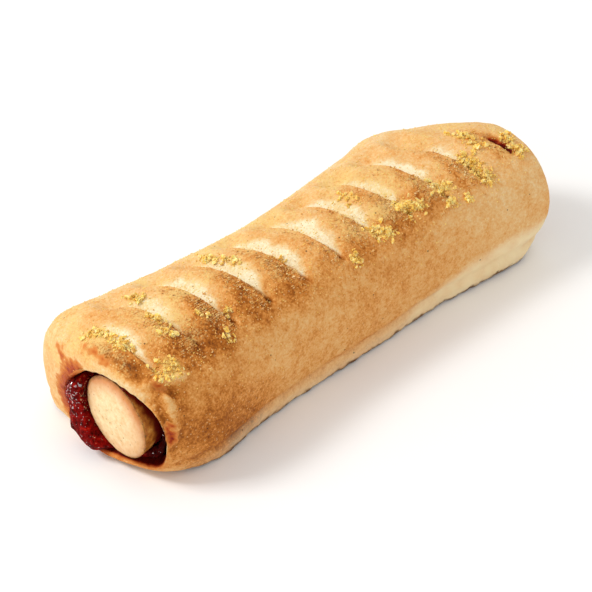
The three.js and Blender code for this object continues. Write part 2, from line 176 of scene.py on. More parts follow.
def direction_at(end, walk):
    """The direction of a walk as seen from the sausage's line at an end, as across and up."""
    y, z = section(shoulder(end, walk), walk)
    across, up = y - bore_y(end["x"]), z - CENTRE_HEIGHT
    far = np.hypot(across, up)
    return across / far, up / far


def swellings(rows, direction):
    """The sum of swellings, each with an angle and a half angle in degrees, and a depth."""
    angle = np.arctan2(direction[1], direction[0])
    total = 0
    for middle, half, depth in rows:
        off = angle - math.radians(middle)
        total = total + depth * bell(np.arctan2(np.sin(off), np.cos(off)), math.radians(half))
    return total


def mouth_radius(end, direction):
    return MOUTH_RADIUS + (swellings(TEARS, direction) if end is NEAR_END else 0)


def mouth_point(end, direction, extra):
    """x, y and z of the mouth's edge, moved out by extra."""
    radius = mouth_radius(end, direction) + extra
    y = bore_y(end["x"]) + radius * direction[0]
    z = np.maximum(CENTRE_HEIGHT + radius * direction[1], LOWEST_LIP)
    back = swellings(SET_BACKS, direction) if end is NEAR_END else 0
    return end["x"] - end["slant"] * y + back, y, z


def end_point(end, walk, opened):
    """The rounded dough of an end, from the lip (0) to the full body (1)."""
    start = shoulder(end, walk)
    full_y, full_z = section(start, walk)
    x, y, z = mouth_point(end, direction_at(end, walk), LIP_RADIUS)
    foot = smooth(SIDE_SHARE, BASE_SHARE, np.abs(walk)) if end is FAR_END else 0
    power = blended(end["power"], walk)
    power = 2 / (power + (FAR_FOOT_POWER - power) * foot)
    out = np.sin(opened * QUARTER_TURN) ** power
    along = np.maximum(np.cos(opened * QUARTER_TURN), 0) ** power
    return np.stack([start + (x - start) * along, y + (full_y - y) * out, z + (full_z - z) * out], axis=-1)


def lip_point(end, walk, turned):
    """The lip, which turns from the skin (0) into the mouth (1)."""
    turn = turned * QUARTER_TURN
    x, y, z = mouth_point(end, direction_at(end, walk), LIP_RADIUS * (1 - np.sin(turn)))
    return np.stack([x - math.copysign(LIP_RADIUS, end["x"]) * (1 - np.cos(turn)), y, z], axis=-1)


# %% [markdown]
# ## Slashes
#
# A baker cuts across the top before baking. In the oven each cut opens: the crust before it swells to a
# ridge with a thin browned edge, and fresh dough from inside shows beyond that edge as a pale crescent.
# The cuts run forward to the right and thin out to a slit there. The last cut is short and deep, and lets
# out steam. All of them follow one run, so that a place on the roll can be given as the place where a
# line along that run crosses the roll's axis.

# %% Where the slashes run
FIRST_SLASH, SLASH_PITCH = -58.5, 14.6
END_SLASH, VENT = -74.6, 75
SLASH_SLANT, SLANT_REACH = 0.28, 17
SLASH_HOOK, SLASH_HOOK_REACH = 0.04, 9
TOP_FADE = (0.27, 0.46)
STRAIGHT_FROM, STRAIGHT_TO = -60.2, 66.1  # between these places the rings follow the slashes fully


def slash_run(walk):
    """How far a slash runs forward at a walk."""
    y, _ = section(0.0, walk)
    hooked = np.clip(y, 0, SLASH_HOOK_REACH)
    run = -SLASH_SLANT * np.clip(y, -SLANT_REACH, SLASH_HOOK_REACH) - SLASH_HOOK * hooked**2
    return run * (1 - smooth(*TOP_FADE, np.abs(walk)))


def body_point(place, walk):
    """A point of the plain body. Over the top, one place lies along the run of the slashes."""
    top_from, top_to = shoulder(NEAR_END, np.zeros(1)), shoulder(FAR_END, np.zeros(1))
    share = (place - top_from) / (top_to - top_from)
    start, stop = shoulder(NEAR_END, walk), shoulder(FAR_END, walk)
    evenly = start + (stop - start) * share
    from_near = (place - top_from) / (STRAIGHT_FROM - top_from)
    from_far = (top_to - place) / (top_to - STRAIGHT_TO)
    bent = (1 - smooth(*TOP_FADE, np.abs(walk))) * np.clip(np.minimum(from_near, from_far), 0, 1)
    x = evenly + (place + slash_run(walk) - evenly) * bent
    y, z = section(x, walk)
    return np.stack([x, y, z], axis=-1)


# %% Lumpy noise for everything that rises unevenly
OCTAVES, SEED_STEP = 2, 17.3  # each seed looks at the same noise that far away


def lumps(points, size, seed):
    """Smooth noise of about -1 to 1 at points, with lumps of the given size in millimetres."""
    shifted = (np.asarray(points) / size + SEED_STEP * seed).reshape(-1, 3)
    values = [noise.fractal(point, 1.0, 2.0, OCTAVES) for point in shifted.tolist()]
    return np.array(values).reshape(np.shape(points)[:-1])


# %% The skin's grid, ring by ring
COLUMNS = 220
NEAR_RINGS, BODY_RINGS, FAR_RINGS, LIP_RINGS, BORE_RINGS = 38, 300, 38, 7, 12
CROWDING = 0.45  # how much closer the rings lie at a slash's edge, where the form turns sharply
CROWDING_FADE = 4  # millimetres over which that sets in at both ends

walk = np.linspace(-1, 1, COLUMNS + 1)[None, :]
near_open = np.linspace(0, 1, NEAR_RINGS)[:, None]
far_open = np.linspace(1, 0, FAR_RINGS)[:, None]
near_top, far_top = (float(shoulder(end, np.zeros(1))[0]) for end in (NEAR_END, FAR_END))
even = np.linspace(near_top, far_top, BODY_RINGS + 2)[1:-1, None]
phase = FULL_TURN * (even - FIRST_SLASH) / SLASH_PITCH
crowding = CROWDING * smooth(near_top, near_top + CROWDING_FADE, even)
crowding = crowding * (1 - smooth(far_top - CROWDING_FADE, far_top, even))
crowded = even - crowding * SLASH_PITCH / FULL_TURN * np.sin(phase)
skin = np.concatenate([
    end_point(NEAR_END, walk, near_open),
    body_point(crowded, walk),
    end_point(FAR_END, walk, far_open),
])
skin_walk = np.broadcast_to(walk, skin.shape[:2])
place = skin[..., 0] - slash_run(skin_walk)
print("skin grid:", skin.shape)

# %% [markdown]
# ## Relief of the crust
#
# Three things shape the skin: the ridges that swell before each slash, the cuts themselves, and the slow
# unevenness of dough that was rolled by hand. Each is an amount along the direction out from the
# sausage's line. A displacement modifier could add the unevenness, but the same amounts also decide where
# the crust browns, so they are worked out here in arrays, and kept.

# %% Sizes of the cuts
SPREAD_LEFT, SPREAD_RIGHT, SLASH_TIP, SLASH_THIN = -0.21, 0.25, 0.065, 0.16
SLASH_DEPTH, SLASH_BANK, SOFT_BANK, SLASH_SLOPE = 2.3, 0.55, 2.6, 8
RIDGE_HEIGHT, RIDGE_BACK, RIDGE_SPREAD = 0.6, 4.6, 2.6
RIDGE_FADE = (0.12, 0.26)
EDGE_LIFT, EDGE_WIDTH = 0.3, 0.9  # the crust's edge curls up a little over the cut
SLIT = dict(left=0.07, right=0.25, off=0.6, wide=0.42, deep=1.3)
RAGGED = 0.35  # how far a cut's edge strays
FRAYED = 0.3  # how unevenly the opened dough ends, as a share of its width
SHALLOW = 0.6  # the depth of the slash on the near shoulder, as a share of the others'
SHARPENING = (-0.03, 0.04)  # walks about a slash's own between which its edge turns sharp
LEFT_WIDTH, RIGHT_GAIN = 0.4, 0.52  # the opened dough's width on the left, and its gain to the right
CLOSING, CLOSED = (-0.18, 0.05), 0.9  # walks about its last one between which it closes, and how far
PALE_EDGE, PALE_FADE = (-0.25, 0.15), (0.55, 1.2)  # where it starts in mm, and ends in shares of its width
TOAST_BACK, TOAST_SPREAD = 3.2, 3.6  # how far before the cut the toast lies, and its width
SIDE_BACK, SIDE_SPREAD = 2.5, 3.5  # how much more toward the right side
RIM_BACK, RIM_WIDTH = 0.55, 0.6  # the thin browned edge
VENT_DEPTH, VENT_BANK, VENT_SLOPE, VENT_RIGHT = 4.5, 0.9, 3.2, 0.2
SLASH_LOOKS = [  # walk where the edge turns sharp, the opened dough's width and last walk, toast, slit
    (-0.10, 7.0, 0.12, 0.84, 0.3),
    (-0.13, 7.2, 0.13, 0.92, 0.5),
    (-0.12, 7.4, 0.17, 0.84, 1.0),
    (-0.14, 6.8, 0.21, 0.72, 0.9),
    (-0.14, 6.8, 0.21, 0.14, 1.0),
    (-0.13, 6.4, 0.19, 0.58, 0.9),
    (-0.13, 6.0, 0.17, 0.70, 0.9),
    (-0.12, 5.6, 0.15, 0.68, 0.9),
    (-0.04, 4.6, 0.14, 0.70, 0.8),
]
slashes = [(END_SLASH, -0.05, 6.6, 0.16, 0.1, 0.2)]
slashes += [(FIRST_SLASH + i * SLASH_PITCH, *look) for i, look in enumerate(SLASH_LOOKS)]

# %% Cuts and ridges
ragged = RAGGED * lumps(skin, 3.2, seed=1)
cut = np.zeros(skin.shape[:2])
raised, opened, slit, toast, rim = (np.zeros_like(cut) for _ in range(5))


def reach(left, right, tip=SLASH_TIP):
    """1 between two walks, fading within a tip's length of both."""
    return smooth(left, left + tip, skin_walk) * (1 - smooth(right - tip, right, skin_walk))


spread = reach(SPREAD_LEFT, SPREAD_RIGHT)
slit_reach = reach(SLIT["left"], SLIT["right"])
thinning = smooth(SPREAD_RIGHT - SLASH_THIN, SPREAD_RIGHT, skin_walk)
slope = SLASH_SLOPE + (3 * SLASH_BANK - SLASH_SLOPE) * thinning
ridged = 1 - smooth(*RIDGE_FADE, np.abs(skin_walk))
toasted_side = smooth(-0.09, 0.05, skin_walk) * (1 - smooth(0.20, 0.36, skin_walk))
frayed = FRAYED * lumps(skin, 3.6, seed=7)
widening = LEFT_WIDTH + RIGHT_GAIN * smooth(-0.2, -0.04, skin_walk)
toward_side = smooth(0.06, 0.18, skin_walk)  # where the toast of one ridge runs into the next
toast_back, toast_spread = TOAST_BACK + SIDE_BACK * toward_side, TOAST_SPREAD + SIDE_SPREAD * toward_side
for slash, sharp_from, wide, pale_end, browned, split in slashes:
    gone = place - slash + ragged
    depth = SLASH_DEPTH * (SHALLOW if slash == END_SLASH else 1)
    sharp = smooth(*SHARPENING, skin_walk - sharp_from)
    bank = SLASH_BANK + SOFT_BANK * (1 - sharp)
    shape = np.where(gone < 0, bell(gone, bank), 1 - smooth(0, slope, gone))
    cut = np.maximum(cut, depth * shape * spread)
    raised = np.maximum(raised, RIDGE_HEIGHT * ridged * bell(gone + RIDGE_BACK, RIDGE_SPREAD))
    raised = raised + EDGE_LIFT * spread * sharp * bell(gone + 1.3 * EDGE_WIDTH, EDGE_WIDTH)
    closing = smooth(*CLOSING, skin_walk - pale_end)
    wide = wide * widening * (1 - CLOSED * closing) * (1 + frayed)
    pale = smooth(*PALE_EDGE, gone) * (1 - smooth(PALE_FADE[0] * wide, PALE_FADE[1] * wide, gone))
    opened = np.maximum(opened, pale * sharp * spread)
    slit_line = bell(gone - SLIT["off"], SLIT["wide"])
    slit = np.maximum(slit, split * slit_reach * slit_line)
    toasted = bell(gone + toast_back, toast_spread)
    toast = np.maximum(toast, browned * toasted_side * toasted)
    rim = np.maximum(rim, sharp * spread * bell(gone + RIM_BACK, RIM_WIDTH))
cut = cut + SLIT["deep"] * slit

# %% The vent
gone = place - VENT + 2 * ragged
shape = np.where(gone < 0, bell(gone, VENT_BANK), 1 - smooth(0, VENT_SLOPE, gone))
vent = shape * reach(0.0, VENT_RIGHT)
cut = np.maximum(cut, VENT_DEPTH * vent)
toast = np.maximum(toast, 0.8 * reach(-0.08, 0.22) * bell(gone + 3, 3.5))
print("deepest cut:", round(float(cut.max()), 2), "mm")

# %% [markdown]
# ## Folds at the near mouth
#
# Where the dough was pressed shut over the sausage it folded. The folds are soft, so each is a ridge or a
# groove along a line of two or three places on the skin, given as x, y and z, with its height and width.

# %% Folds
FOLDS = [  # places, height (a groove's is negative), width
    ([(-79.1, -6.0, 41.4), (-77.6, -12.3, 40.1), (-75.0, -17.2, 37.7)], -0.7, 1.7),
    ([(-76.0, -17.6, 37.4), (-70.9, -19.3, 37.0), (-64.5, -21.0, 36.5)], 1.0, 1.3),
    ([(-73.5, -18.9, 36.3), (-71.7, -20.7, 35.4), (-69.6, -22.9, 33.2)], -1.3, 0.9),
    ([(-77.0, -19.8, 33.3), (-74.9, -22.2, 31.6), (-74.0, -24.4, 26.7)], -1.1, 1.0),
    ([(-72.0, -22.3, 33.4), (-72.2, -24.1, 29.4), (-72.1, -25.6, 23.2)], 1.0, 1.8),
    ([(-74.2, -24.5, 24.0), (-72.8, -25.3, 19.0)], -0.8, 1.2),
]


def from_line(points, places):
    """How far points lie from a line that runs straight from place to place."""
    nearest = np.full(points.shape[:-1], np.inf)
    for start, end in zip(np.array(places[:-1]), np.array(places[1:])):
        along = np.clip((points - start) @ (end - start) / ((end - start) @ (end - start)), 0, 1)
        off = np.linalg.norm(points - start - along[..., None] * (end - start), axis=-1)
        nearest = np.minimum(nearest, off)
    return nearest


folded = sum(high * bell(from_line(skin, places), wide) for places, high, wide in FOLDS)

# %% The uneven skin
UNDULATION = [(16, 0.35, 3), (4.5, 0.16, 4), (1.6, 0.06, 5)]  # size, height and seed of its lumps
FOOT_RAGGED, FOOT_RAGGED_HEIGHT = 0.45, 2.5

free = 1 - smooth(BASE_SHARE - 0.03, BASE_SHARE, np.abs(skin_walk))
uneven = sum(high * lumps(skin, size, seed) for size, high, seed in UNDULATION) * free
calm = 1 - 0.5 * opened  # the opened dough is stretched smooth
foot_edge = bell(skin[..., 2], FOOT_RAGGED_HEIGHT) * FOOT_RAGGED * lumps(skin, 4.0, seed=6)
amount = raised - cut + folded + uneven * calm + foot_edge

core = np.stack([skin[..., 0], bore_y(skin[..., 0]), np.full(skin.shape[:2], CENTRE_HEIGHT)], axis=-1)
outward = skin - core
outward /= np.linalg.norm(outward, axis=-1, keepdims=True)
skin = skin + outward * amount[..., None]
skin[..., 2] = np.maximum(skin[..., 2], 0)

# %% [markdown]
# ## One closed tube of dough
#
# The dough is a tube: its skin runs from the near lip to the far lip, turns into the far mouth and comes
# back through the bore. A flat grid can be rolled up both ways to make it, so that every vertex is known
# by its ring and its column. Where the grid's edges meet they are merged, which leaves one closed body.

# %% Lips and bore
BORE_RADIUS = 15.7
BORE_NEAR, BORE_FAR = NEAR_END["x"] + MOUTH_DEPTH, FAR_END["x"] - MOUTH_DEPTH


def unit_mix(a, b, share):
    across, up = a[0] + (b[0] - a[0]) * share, a[1] + (b[1] - a[1]) * share
    far = np.hypot(across, up)
    return across / far, up / far


def round_line(x, radius, direction):
    """A point round the sausage's line."""
    up = CENTRE_HEIGHT + radius * direction[1]
    return np.stack(np.broadcast_arrays(x, bore_y(x) + radius * direction[0], up), axis=-1)


lip_turns = np.linspace(0, 1, LIP_RINGS + 1)[1:, None]
bore_x = np.linspace(BORE_FAR, BORE_NEAR, BORE_RINGS)[:, None]
bore_share = (bore_x - NEAR_END["x"]) / (FAR_END["x"] - NEAR_END["x"])
bore_way = unit_mix(direction_at(NEAR_END, walk), direction_at(FAR_END, walk), bore_share)
inside = np.concatenate([
    lip_point(FAR_END, walk, lip_turns),
    round_line(bore_x, BORE_RADIUS, bore_way),
    lip_point(NEAR_END, walk, lip_turns[::-1]),
])
LIP_UNEVEN = 0.35
near_lips = inside[-LIP_RINGS:]
near_lips += LIP_UNEVEN * lumps(near_lips, 3.0, seed=8)[..., None] * np.array([1.0, 0.4, 0.4])
inside[..., 2] = np.maximum(inside[..., 2], LOWEST_LIP)
rolled = np.concatenate([skin, inside, skin[:1]])
print("rings:", len(rolled), "columns:", rolled.shape[1])

# %% Where the roll lies in the frame
SAUSAGE_RADIUS, SAUSAGE_NEAR, SAUSAGE_FAR = 13.5, -80.1, 83
LINE_STEPS = 10

line_places = np.linspace(BORE_NEAR, BORE_FAR, LINE_STEPS + 1)
_, sausage_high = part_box("sausage")
shift = np.array([
    sausage_high.x / MM - SAUSAGE_FAR,
    sausage_high.y / MM - SAUSAGE_RADIUS - bore_y(line_places).max(),
    0,
])
print("the roll's axis in the frame:", shift.round(3))


# %% A grid rolled up into a closed body
def deselect():
    bpy.ops.object.select_all(action="DESELECT")


def keep_fields(mesh, fields):
    """Keeps each field, a number for every vertex, as an attribute."""
    for field, values in fields.items():
        attribute = mesh.attributes.new(field, "FLOAT", "POINT")
        attribute.data.foreach_set("value", values.astype(np.float32))


def close_up():
    """Merges the active body's doubles, turns its faces out and smooths its shading."""
    bpy.ops.object.mode_set(mode="EDIT")
    bpy.ops.mesh.select_all(action="SELECT")
    bpy.ops.mesh.remove_doubles(threshold=0.001 * MM)
    bpy.ops.mesh.normals_make_consistent(inside=False)
    bpy.ops.object.mode_set(mode="OBJECT")
    bpy.ops.object.shade_smooth()


def roll_up(name, rows, fields):
    """A closed body from rings of points. Each field is a number for every point, kept as an attribute."""
    deselect()
    rings, columns = rows.shape[:2]
    bpy.ops.mesh.primitive_grid_add(x_subdivisions=columns - 1, y_subdivisions=rings - 1, size=1)
    body = bpy.context.object
    body.name = name
    mesh = body.data
    mesh.name = name
    flat = np.empty(len(mesh.vertices) * 3)
    mesh.vertices.foreach_get("co", flat)
    flat = flat.reshape(-1, 3) + 0.5
    column = np.rint(flat[:, 0] * (columns - 1)).astype(int)
    ring = np.rint(flat[:, 1] * (rings - 1)).astype(int)
    mesh.vertices.foreach_set("co", ((rows[ring, column] + shift) * MM).ravel())
    keep_fields(mesh, {field: values[ring, column] for field, values in fields.items()})
    close_up()
    print(name, "has", len(mesh.vertices), "vertices and", len(mesh.polygons), "faces")
    return body


# %% [markdown]
# ## Where the oven and the sauce left their marks, and where shade and highlight are painted
#
# The crust's colour is not a pattern laid over it: it follows the form. Ridges stand nearer the heat and
# brown first, mostly on the right of the roll. Opened dough stays cream. The sides near the base see
# little heat and stay pale, while the rim that touched the tray scorches. Yellow dust from the crumbs
# lies on the top, and crumbs have melted round their clumps. Shade and highlight are painted in as well:
# darker in the slits, the vent, the folds' grooves, the creased line above the foot and the dip behind
# the flap, and lighter on the folds' crests and, together with its pale dough, on the flap's rounded edge.
# So each vertex is given how far it is baked and toasted, with that painted shade and highlight, and how
# much foot, scorch, dust, melted crumb and stain it carries. The finish reads these.

# %% Baking
# Besides baking, this holds painted shade (slit, vent, groove, crease, hollow_shade) and painted highlight
# (fold_crest_highlight, and part of flap).
BAKE_AND_SHADING = dict(  # from raw dough, 0, to nearly black, 1
    body=0.37, right=0.15, blotches=0.06, mottle=0.05, near_flank=0.26, far_end=-0.12, opened=-0.48,
    rim=0.28, slit=0.6, vent=0.75, groove=0.03, fold_crest_highlight=-0.3, crease=0.10, flap=-0.30, hollow_shade=0.24,
)
NEAR_FLANK = [(-72, -25, 22), (-45, -25, 8)]  # it browned most, and the far end least

across_top = smooth(-0.35, 0.3, skin_walk)
bake_and_shading = BAKE_AND_SHADING["body"] + BAKE_AND_SHADING["right"] * across_top
bake_and_shading += BAKE_AND_SHADING["blotches"] * lumps(skin, 22, seed=10) + BAKE_AND_SHADING["mottle"] * lumps(skin, 6, seed=11)
bake_and_shading += BAKE_AND_SHADING["near_flank"] * bell(from_line(skin, NEAR_FLANK), 12)
bake_and_shading += BAKE_AND_SHADING["far_end"] * smooth(25, 70, skin[..., 0]) * across_top
bake_and_shading += BAKE_AND_SHADING["opened"] * opened * (1 - slit)
bake_and_shading += BAKE_AND_SHADING["rim"] * rim * (0.4 + 0.6 * across_top)
# Painted shade: the narrow slits and the vent are darkened where shade falls in them.
bake_and_shading += BAKE_AND_SHADING["slit"] * slit + BAKE_AND_SHADING["vent"] * vent
# Painted shade darkens the folds' grooves, and painted highlight lightens the folds' crests.
bake_and_shading += BAKE_AND_SHADING["groove"] * np.clip(-folded, 0, 1) + BAKE_AND_SHADING["fold_crest_highlight"] * np.clip(folded, 0, 1)

# %% Foot, scorch and dust
side = smooth(SIDE_SHARE - 0.08, SIDE_SHARE + 0.06, np.abs(skin_walk))
FOOT_RISE = 9  # how much higher the pale foot reaches at the far end
foot_line = FOOT_HEIGHT - 0.6 + 0.9 * lumps(skin, 9, seed=12) + FOOT_RISE * smooth(15, 70, skin[..., 0])
along_foot = smooth(-66, -44, skin[..., 0])  # the near end's foot browned like the rest
foot = (0.55 + 0.4 * smooth(0, 50, skin[..., 0])) * (0.2 + 0.8 * along_foot)
foot = foot * side * (1 - smooth(-4, 2.4, skin[..., 2] - foot_line)) * (0.9 + 0.25 * lumps(skin, 5, seed=19))
# Painted shade along the creased line above the foot.
crease_line = side * bell(skin[..., 2] - FOOT_HEIGHT - 0.8, 1.2)
scorch = smooth(2.2, 0.7, skin[..., 2] - 1.1 * lumps(skin, 3, seed=13) - 0.5 * lumps(skin, 1.2, seed=17))
on_top = (1 - smooth(0.1, 0.34, skin_walk)) * smooth(-0.6, -0.3, skin_walk)
dust = on_top * (0.6 + 0.5 * lumps(skin, 9, seed=14))
bake_and_shading += BAKE_AND_SHADING["crease"] * crease_line

# %% Where crumbs gather
CLUMPS = [  # place along the slashes' run, walk, spread in mm, crumbs
    (-73.0, -0.05, 1.5, 14), (-74.2, 0.035, 1.7, 20), (-70.3, 0.225, 1.9, 12), (-75.0, 0.223, 1.3, 7),
    (-60.3, 0.028, 1.2, 9), (-62.9, 0.094, 1.2, 5), (-52.4, -0.09, 1.2, 10), (-49.5, 0.10, 1.2, 4),
    (-23.3, -0.12, 1.4, 9), (-23.4, -0.04, 1.3, 6), (-42.1, 0.15, 0.8, 3), (-49.0, 0.236, 1.2, 4),
    (-13.7, 0.05, 1.0, 4), (3.5, 0.24, 1.3, 6), (15.8, 0.19, 1.7, 17), (18.6, 0.236, 1.4, 6),
    (22.3, -0.017, 1.6, 6), (30.3, 0.155, 2.1, 26), (34.0, 0.19, 1.4, 9), (45.1, 0.16, 2.1, 26),
    (44.2, 0.253, 1.3, 8), (49.8, 0.277, 1.0, 5), (60.9, 0.10, 2.0, 24), (60.2, 0.21, 2.0, 22),
    (77.3, 0.17, 1.5, 15), (79.0, 0.08, 1.5, 9), (70.5, -0.02, 1.7, 10), (68.0, 0.04, 1.5, 8),
]
WALK_LENGTH = 60  # millimetres of skin for one step of walk, over the top
MELTED_LEAST, MELTED_FULL, MELTED_WIDE = 0.35, 20, 1.8  # where crumbs melt, by their count and spread

crumbed = np.zeros_like(cut)
for where, at, wide, count in CLUMPS:
    off = np.hypot(place - where, (skin_walk - at) * WALK_LENGTH)
    crumbed = np.maximum(crumbed, min(1, MELTED_LEAST + count / MELTED_FULL) * bell(off, MELTED_WIDE * wide))

# %% Stains round the near mouth
STAINS = [  # places, width, strength
    ([(-83.5, 14.0, 34.0), (-83.2, 11.4, 31.0), (-82.8, 8.6, 29.5)], 2.8, 0.70),
    ([(-82.8, 10.0, 29.5), (-83.0, 4.0, 33.0)], 3.0, 0.32),
    ([(-80.8, 3.4, 40.8), (-80.5, 0.2, 41.0)], 2.4, 0.52),
    ([(-80.4, -4.0, 41.0), (-80.3, -5.4, 40.9)], 2.2, 0.64),
    ([(-73.5, -18.9, 36.8), (-71.7, -20.7, 35.7)], 1.4, 0.72),
    ([(-73.7, -25.5, 24.6), (-73.0, -25.5, 19.0)], 2.1, 0.95),
]
# The first three lie along the folds' grooves by the mouth, where they are partly browning and partly painted
# shade.
BROWN_MARKS_AND_GROOVE_SHADE = [
    ([(-73.5, -18.9, 36.8), (-71.7, -20.7, 35.7), (-69.6, -22.9, 33.2)], 1.7, 0.16),
    ([(-77.0, -19.8, 33.3), (-75.4, -21.4, 32.7), (-74.0, -24.4, 26.7)], 1.3, 0.16),
    ([(-73.5, -25.5, 24.6), (-72.8, -25.5, 19.0)], 2.8, 0.24),
    ([(-56.5, -8.6, 41.0), (-52.5, -16.8, 38.6)], 4.0, 0.20),
    ([(-79.6, 3.0, 41.6), (-79.4, -4.0, 41.7)], 1.6, 0.14),
]
MOUTH_MARKS = {  # middle and width in degrees, seen from the near end: 90 is up, and 0 the roll's left
    "flap": (112, 30),
    "hollow_shade": (92, 34),
    "dry_flap": (96, 34),
    "dry_left": (38, 18),
    "wet_foot": (-138, 34),
    "wet_bottom": (-80, 30),
}
WET_FROM, WET_TO = (-82, -58), (42, 58)  # between these two the sauce has run over the lip
SOAKED_SIDE, SOAKED_FOOT = 0.68, 0.3
broken = 0.65 + 0.6 * lumps(skin, 1.8, seed=18)
stain = sum(strength * bell(from_line(skin, places), wide) for places, wide, strength in STAINS) * broken
bake_and_shading += sum(strength * bell(from_line(skin, places), wide) for places, wide, strength in BROWN_MARKS_AND_GROOVE_SHADE) * broken
near_way = direction_at(NEAR_END, walk)
near_angle = np.degrees(np.arctan2(near_way[1], near_way[0]))


def round_mouth(mark):
    """1 at a mark's angle round the near mouth, fading away from it."""
    middle, wide = MOUTH_MARKS[mark]
    return bell(near_angle - middle, wide)


lip_line = np.stack(mouth_point(NEAR_END, near_way, LIP_RADIUS), axis=-1)
off_lip = np.linalg.norm(skin - lip_line, axis=-1)
wet_side = smooth(*WET_FROM, near_angle) * (1 - smooth(*WET_TO, near_angle))
soaked = wet_side * (1 - smooth(0.4, 5.4, off_lip + 1.3 * lumps(skin, 2.0, seed=15)))
wet_foot = round_mouth("wet_foot")
wet_foot_skin = wet_foot + 1.2 * round_mouth("wet_bottom")
soaked_foot = wet_foot_skin * (1 - smooth(0.2, 2.4, off_lip + 0.9 * lumps(skin, 2.2, seed=16)))
soaked = SOAKED_SIDE * soaked + SOAKED_FOOT * soaked_foot
# The vent takes the sauce's dark red: partly sauce, partly painted shade in the deep hole.
stain = np.clip(np.maximum(stain, soaked) + smooth(0.1, 0.5, vent), 0, 1)
# The flap's rounded edge is made lighter: partly pale dough, partly painted highlight. The dip behind it gets
# painted shade.
flap = round_mouth("flap") * (1 - smooth(1.4, 4.0, off_lip)) * (1 - stain)
bake_and_shading += BAKE_AND_SHADING["flap"] * flap
bake_and_shading += BAKE_AND_SHADING["hollow_shade"] * bell(off_lip - 6.5, 3.0) * round_mouth("hollow_shade")  # behind the flap

# %% The dough
def along_all(values, inner):
    """Adds the lips' and the bore's rings to a field of the skin."""
    within = np.broadcast_to(inner, inside.shape[:2])
    return np.concatenate([values, within, values[:1]])


lip_turned = np.linspace(1, 0, LIP_RINGS)[:, None]
lip_wet = stain[:1] + (1 - stain[:1]) * lip_turned ** (3 - 2.2 * np.maximum(wet_side, wet_foot))
wet_within = np.concatenate([
    np.full((LIP_RINGS, COLUMNS + 1), 0.5),
    np.ones((BORE_RINGS, COLUMNS + 1)),
    lip_wet,
])
near_half = np.concatenate([np.zeros(LIP_RINGS + BORE_RINGS), np.ones(LIP_RINGS)])[:, None]
dry_flap = near_half * round_mouth("dry_flap") + 0.5 * round_mouth("dry_left")
fields = {
    # The baked field carries the painted shade and highlight as well as the baking.
    "baked": along_all(np.clip(bake_and_shading, 0, 1), 0.3),
    "toast": along_all(toast, 0.0),
    "crumbed": along_all(crumbed, 0.0),
    "foot": along_all(np.clip(foot, 0, 1), 0.0),
    "scorch": along_all(scorch, 0.0),
    "dust": along_all(np.clip(dust, 0, 1), 0.0),
    "stain": along_all(stain, wet_within * (1 - 0.9 * np.clip(dry_flap, 0, 1))),
}
dough = roll_up("crusty_dough", rolled, fields)
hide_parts("dough")

# %% [markdown]
# ## Finishes
#
# Each finish is a small network of nodes. One function adds a node, sets its settings and its inputs, and
# hands back the output that the next node takes. Another starts a finish with the fields and the noises
# that it reads. Colours are written as they look on a screen, and one function turns them to the linear
# values that light is worked out in.

# %% Colours and nodes
MIX_FACTOR, MIX_A, MIX_B, MIX_RESULT = 0, 6, 7, 2  # the colour sockets of a Mix node
MIX_COLOURS = {"data_type": "RGBA"}
EASED = {"interpolation_type": "SMOOTHSTEP"}
MULTIPLIED = {"operation": "MULTIPLY"}
SUM_UP = {"operation": "MULTIPLY_ADD"}  # the first two inputs multiplied, and the third added


def linear(colour):
    """A screen colour such as "#D9A560" as linear red, green, blue and alpha."""
    parts = [int(colour[i:i + 2], 16) / 255 for i in (1, 3, 5)]
    return (*[p / 12.92 if p <= 0.04045 else ((p + 0.055) / 1.055) ** 2.4 for p in parts], 1.0)


def per(size):
    """The scale of a pattern whose features are size millimetres across."""
    return 1 / (size * MM)


def add_node(tree, kind, settings=None, inputs=None, output=0):
    """Adds a shader node. An input is a value, or the output that is linked to it."""
    node = tree.nodes.new("ShaderNode" + kind)
    for name, value in (settings or {}).items():
        if name == "stops":
            while len(node.color_ramp.elements) < len(value):
                node.color_ramp.elements.new(0.5)
            for element, (position, colour) in zip(node.color_ramp.elements, value):
                element.position = position
                element.color = linear(colour)
        else:
            setattr(node, name, value)
    for name, value in (inputs or {}).items():
        if isinstance(value, bpy.types.NodeSocket):
            tree.links.new(value, node.inputs[name])
        else:
            node.inputs[name].default_value = value
    return node.outputs[output] if len(node.outputs) else None


def new_finish(name):
    """An empty material and its tree."""
    finish = bpy.data.materials.new(name)
    finish.use_nodes = True
    finish.node_tree.nodes.clear()
    return finish, finish.node_tree


def start_finish(name, kept, patterns):
    """A new finish with what it reads: the place on the piece, and its fields and noises by name."""
    finish, tree = new_finish(name)
    place = add_node(tree, "TexCoord", output="Object")
    field, noises = {}, {}
    for one in kept:
        field[one] = add_node(tree, "Attribute", {"attribute_name": one}, output="Fac")
    for one, size, detail, rough in patterns:
        noises[one] = add_node(
            tree, "TexNoise", {},
            {"Vector": place, "Scale": per(size), "Detail": detail, "Roughness": rough},
        )
    return finish, tree, place, field, noises


# %% [markdown]
# ## Baked crust
#
# Crust is dried, browned starch: matt, a little rough, and speckled at every size, because each blister
# and grain of flour browns on its own. Noises from 12 mm down to 0.6 mm break up the baking that the form
# gives, with its painted shade and highlight, and the toasted ridges get spots of about 2 mm. A ramp then
# turns that into colour, from cream dough over gold to dark brown. Over that lie pale flecks, yellow dust,
# melted crumbs, the paler foot, a few dark specks, the scorched rim and the stains of sauce, which keep
# some of the sauce's shine.

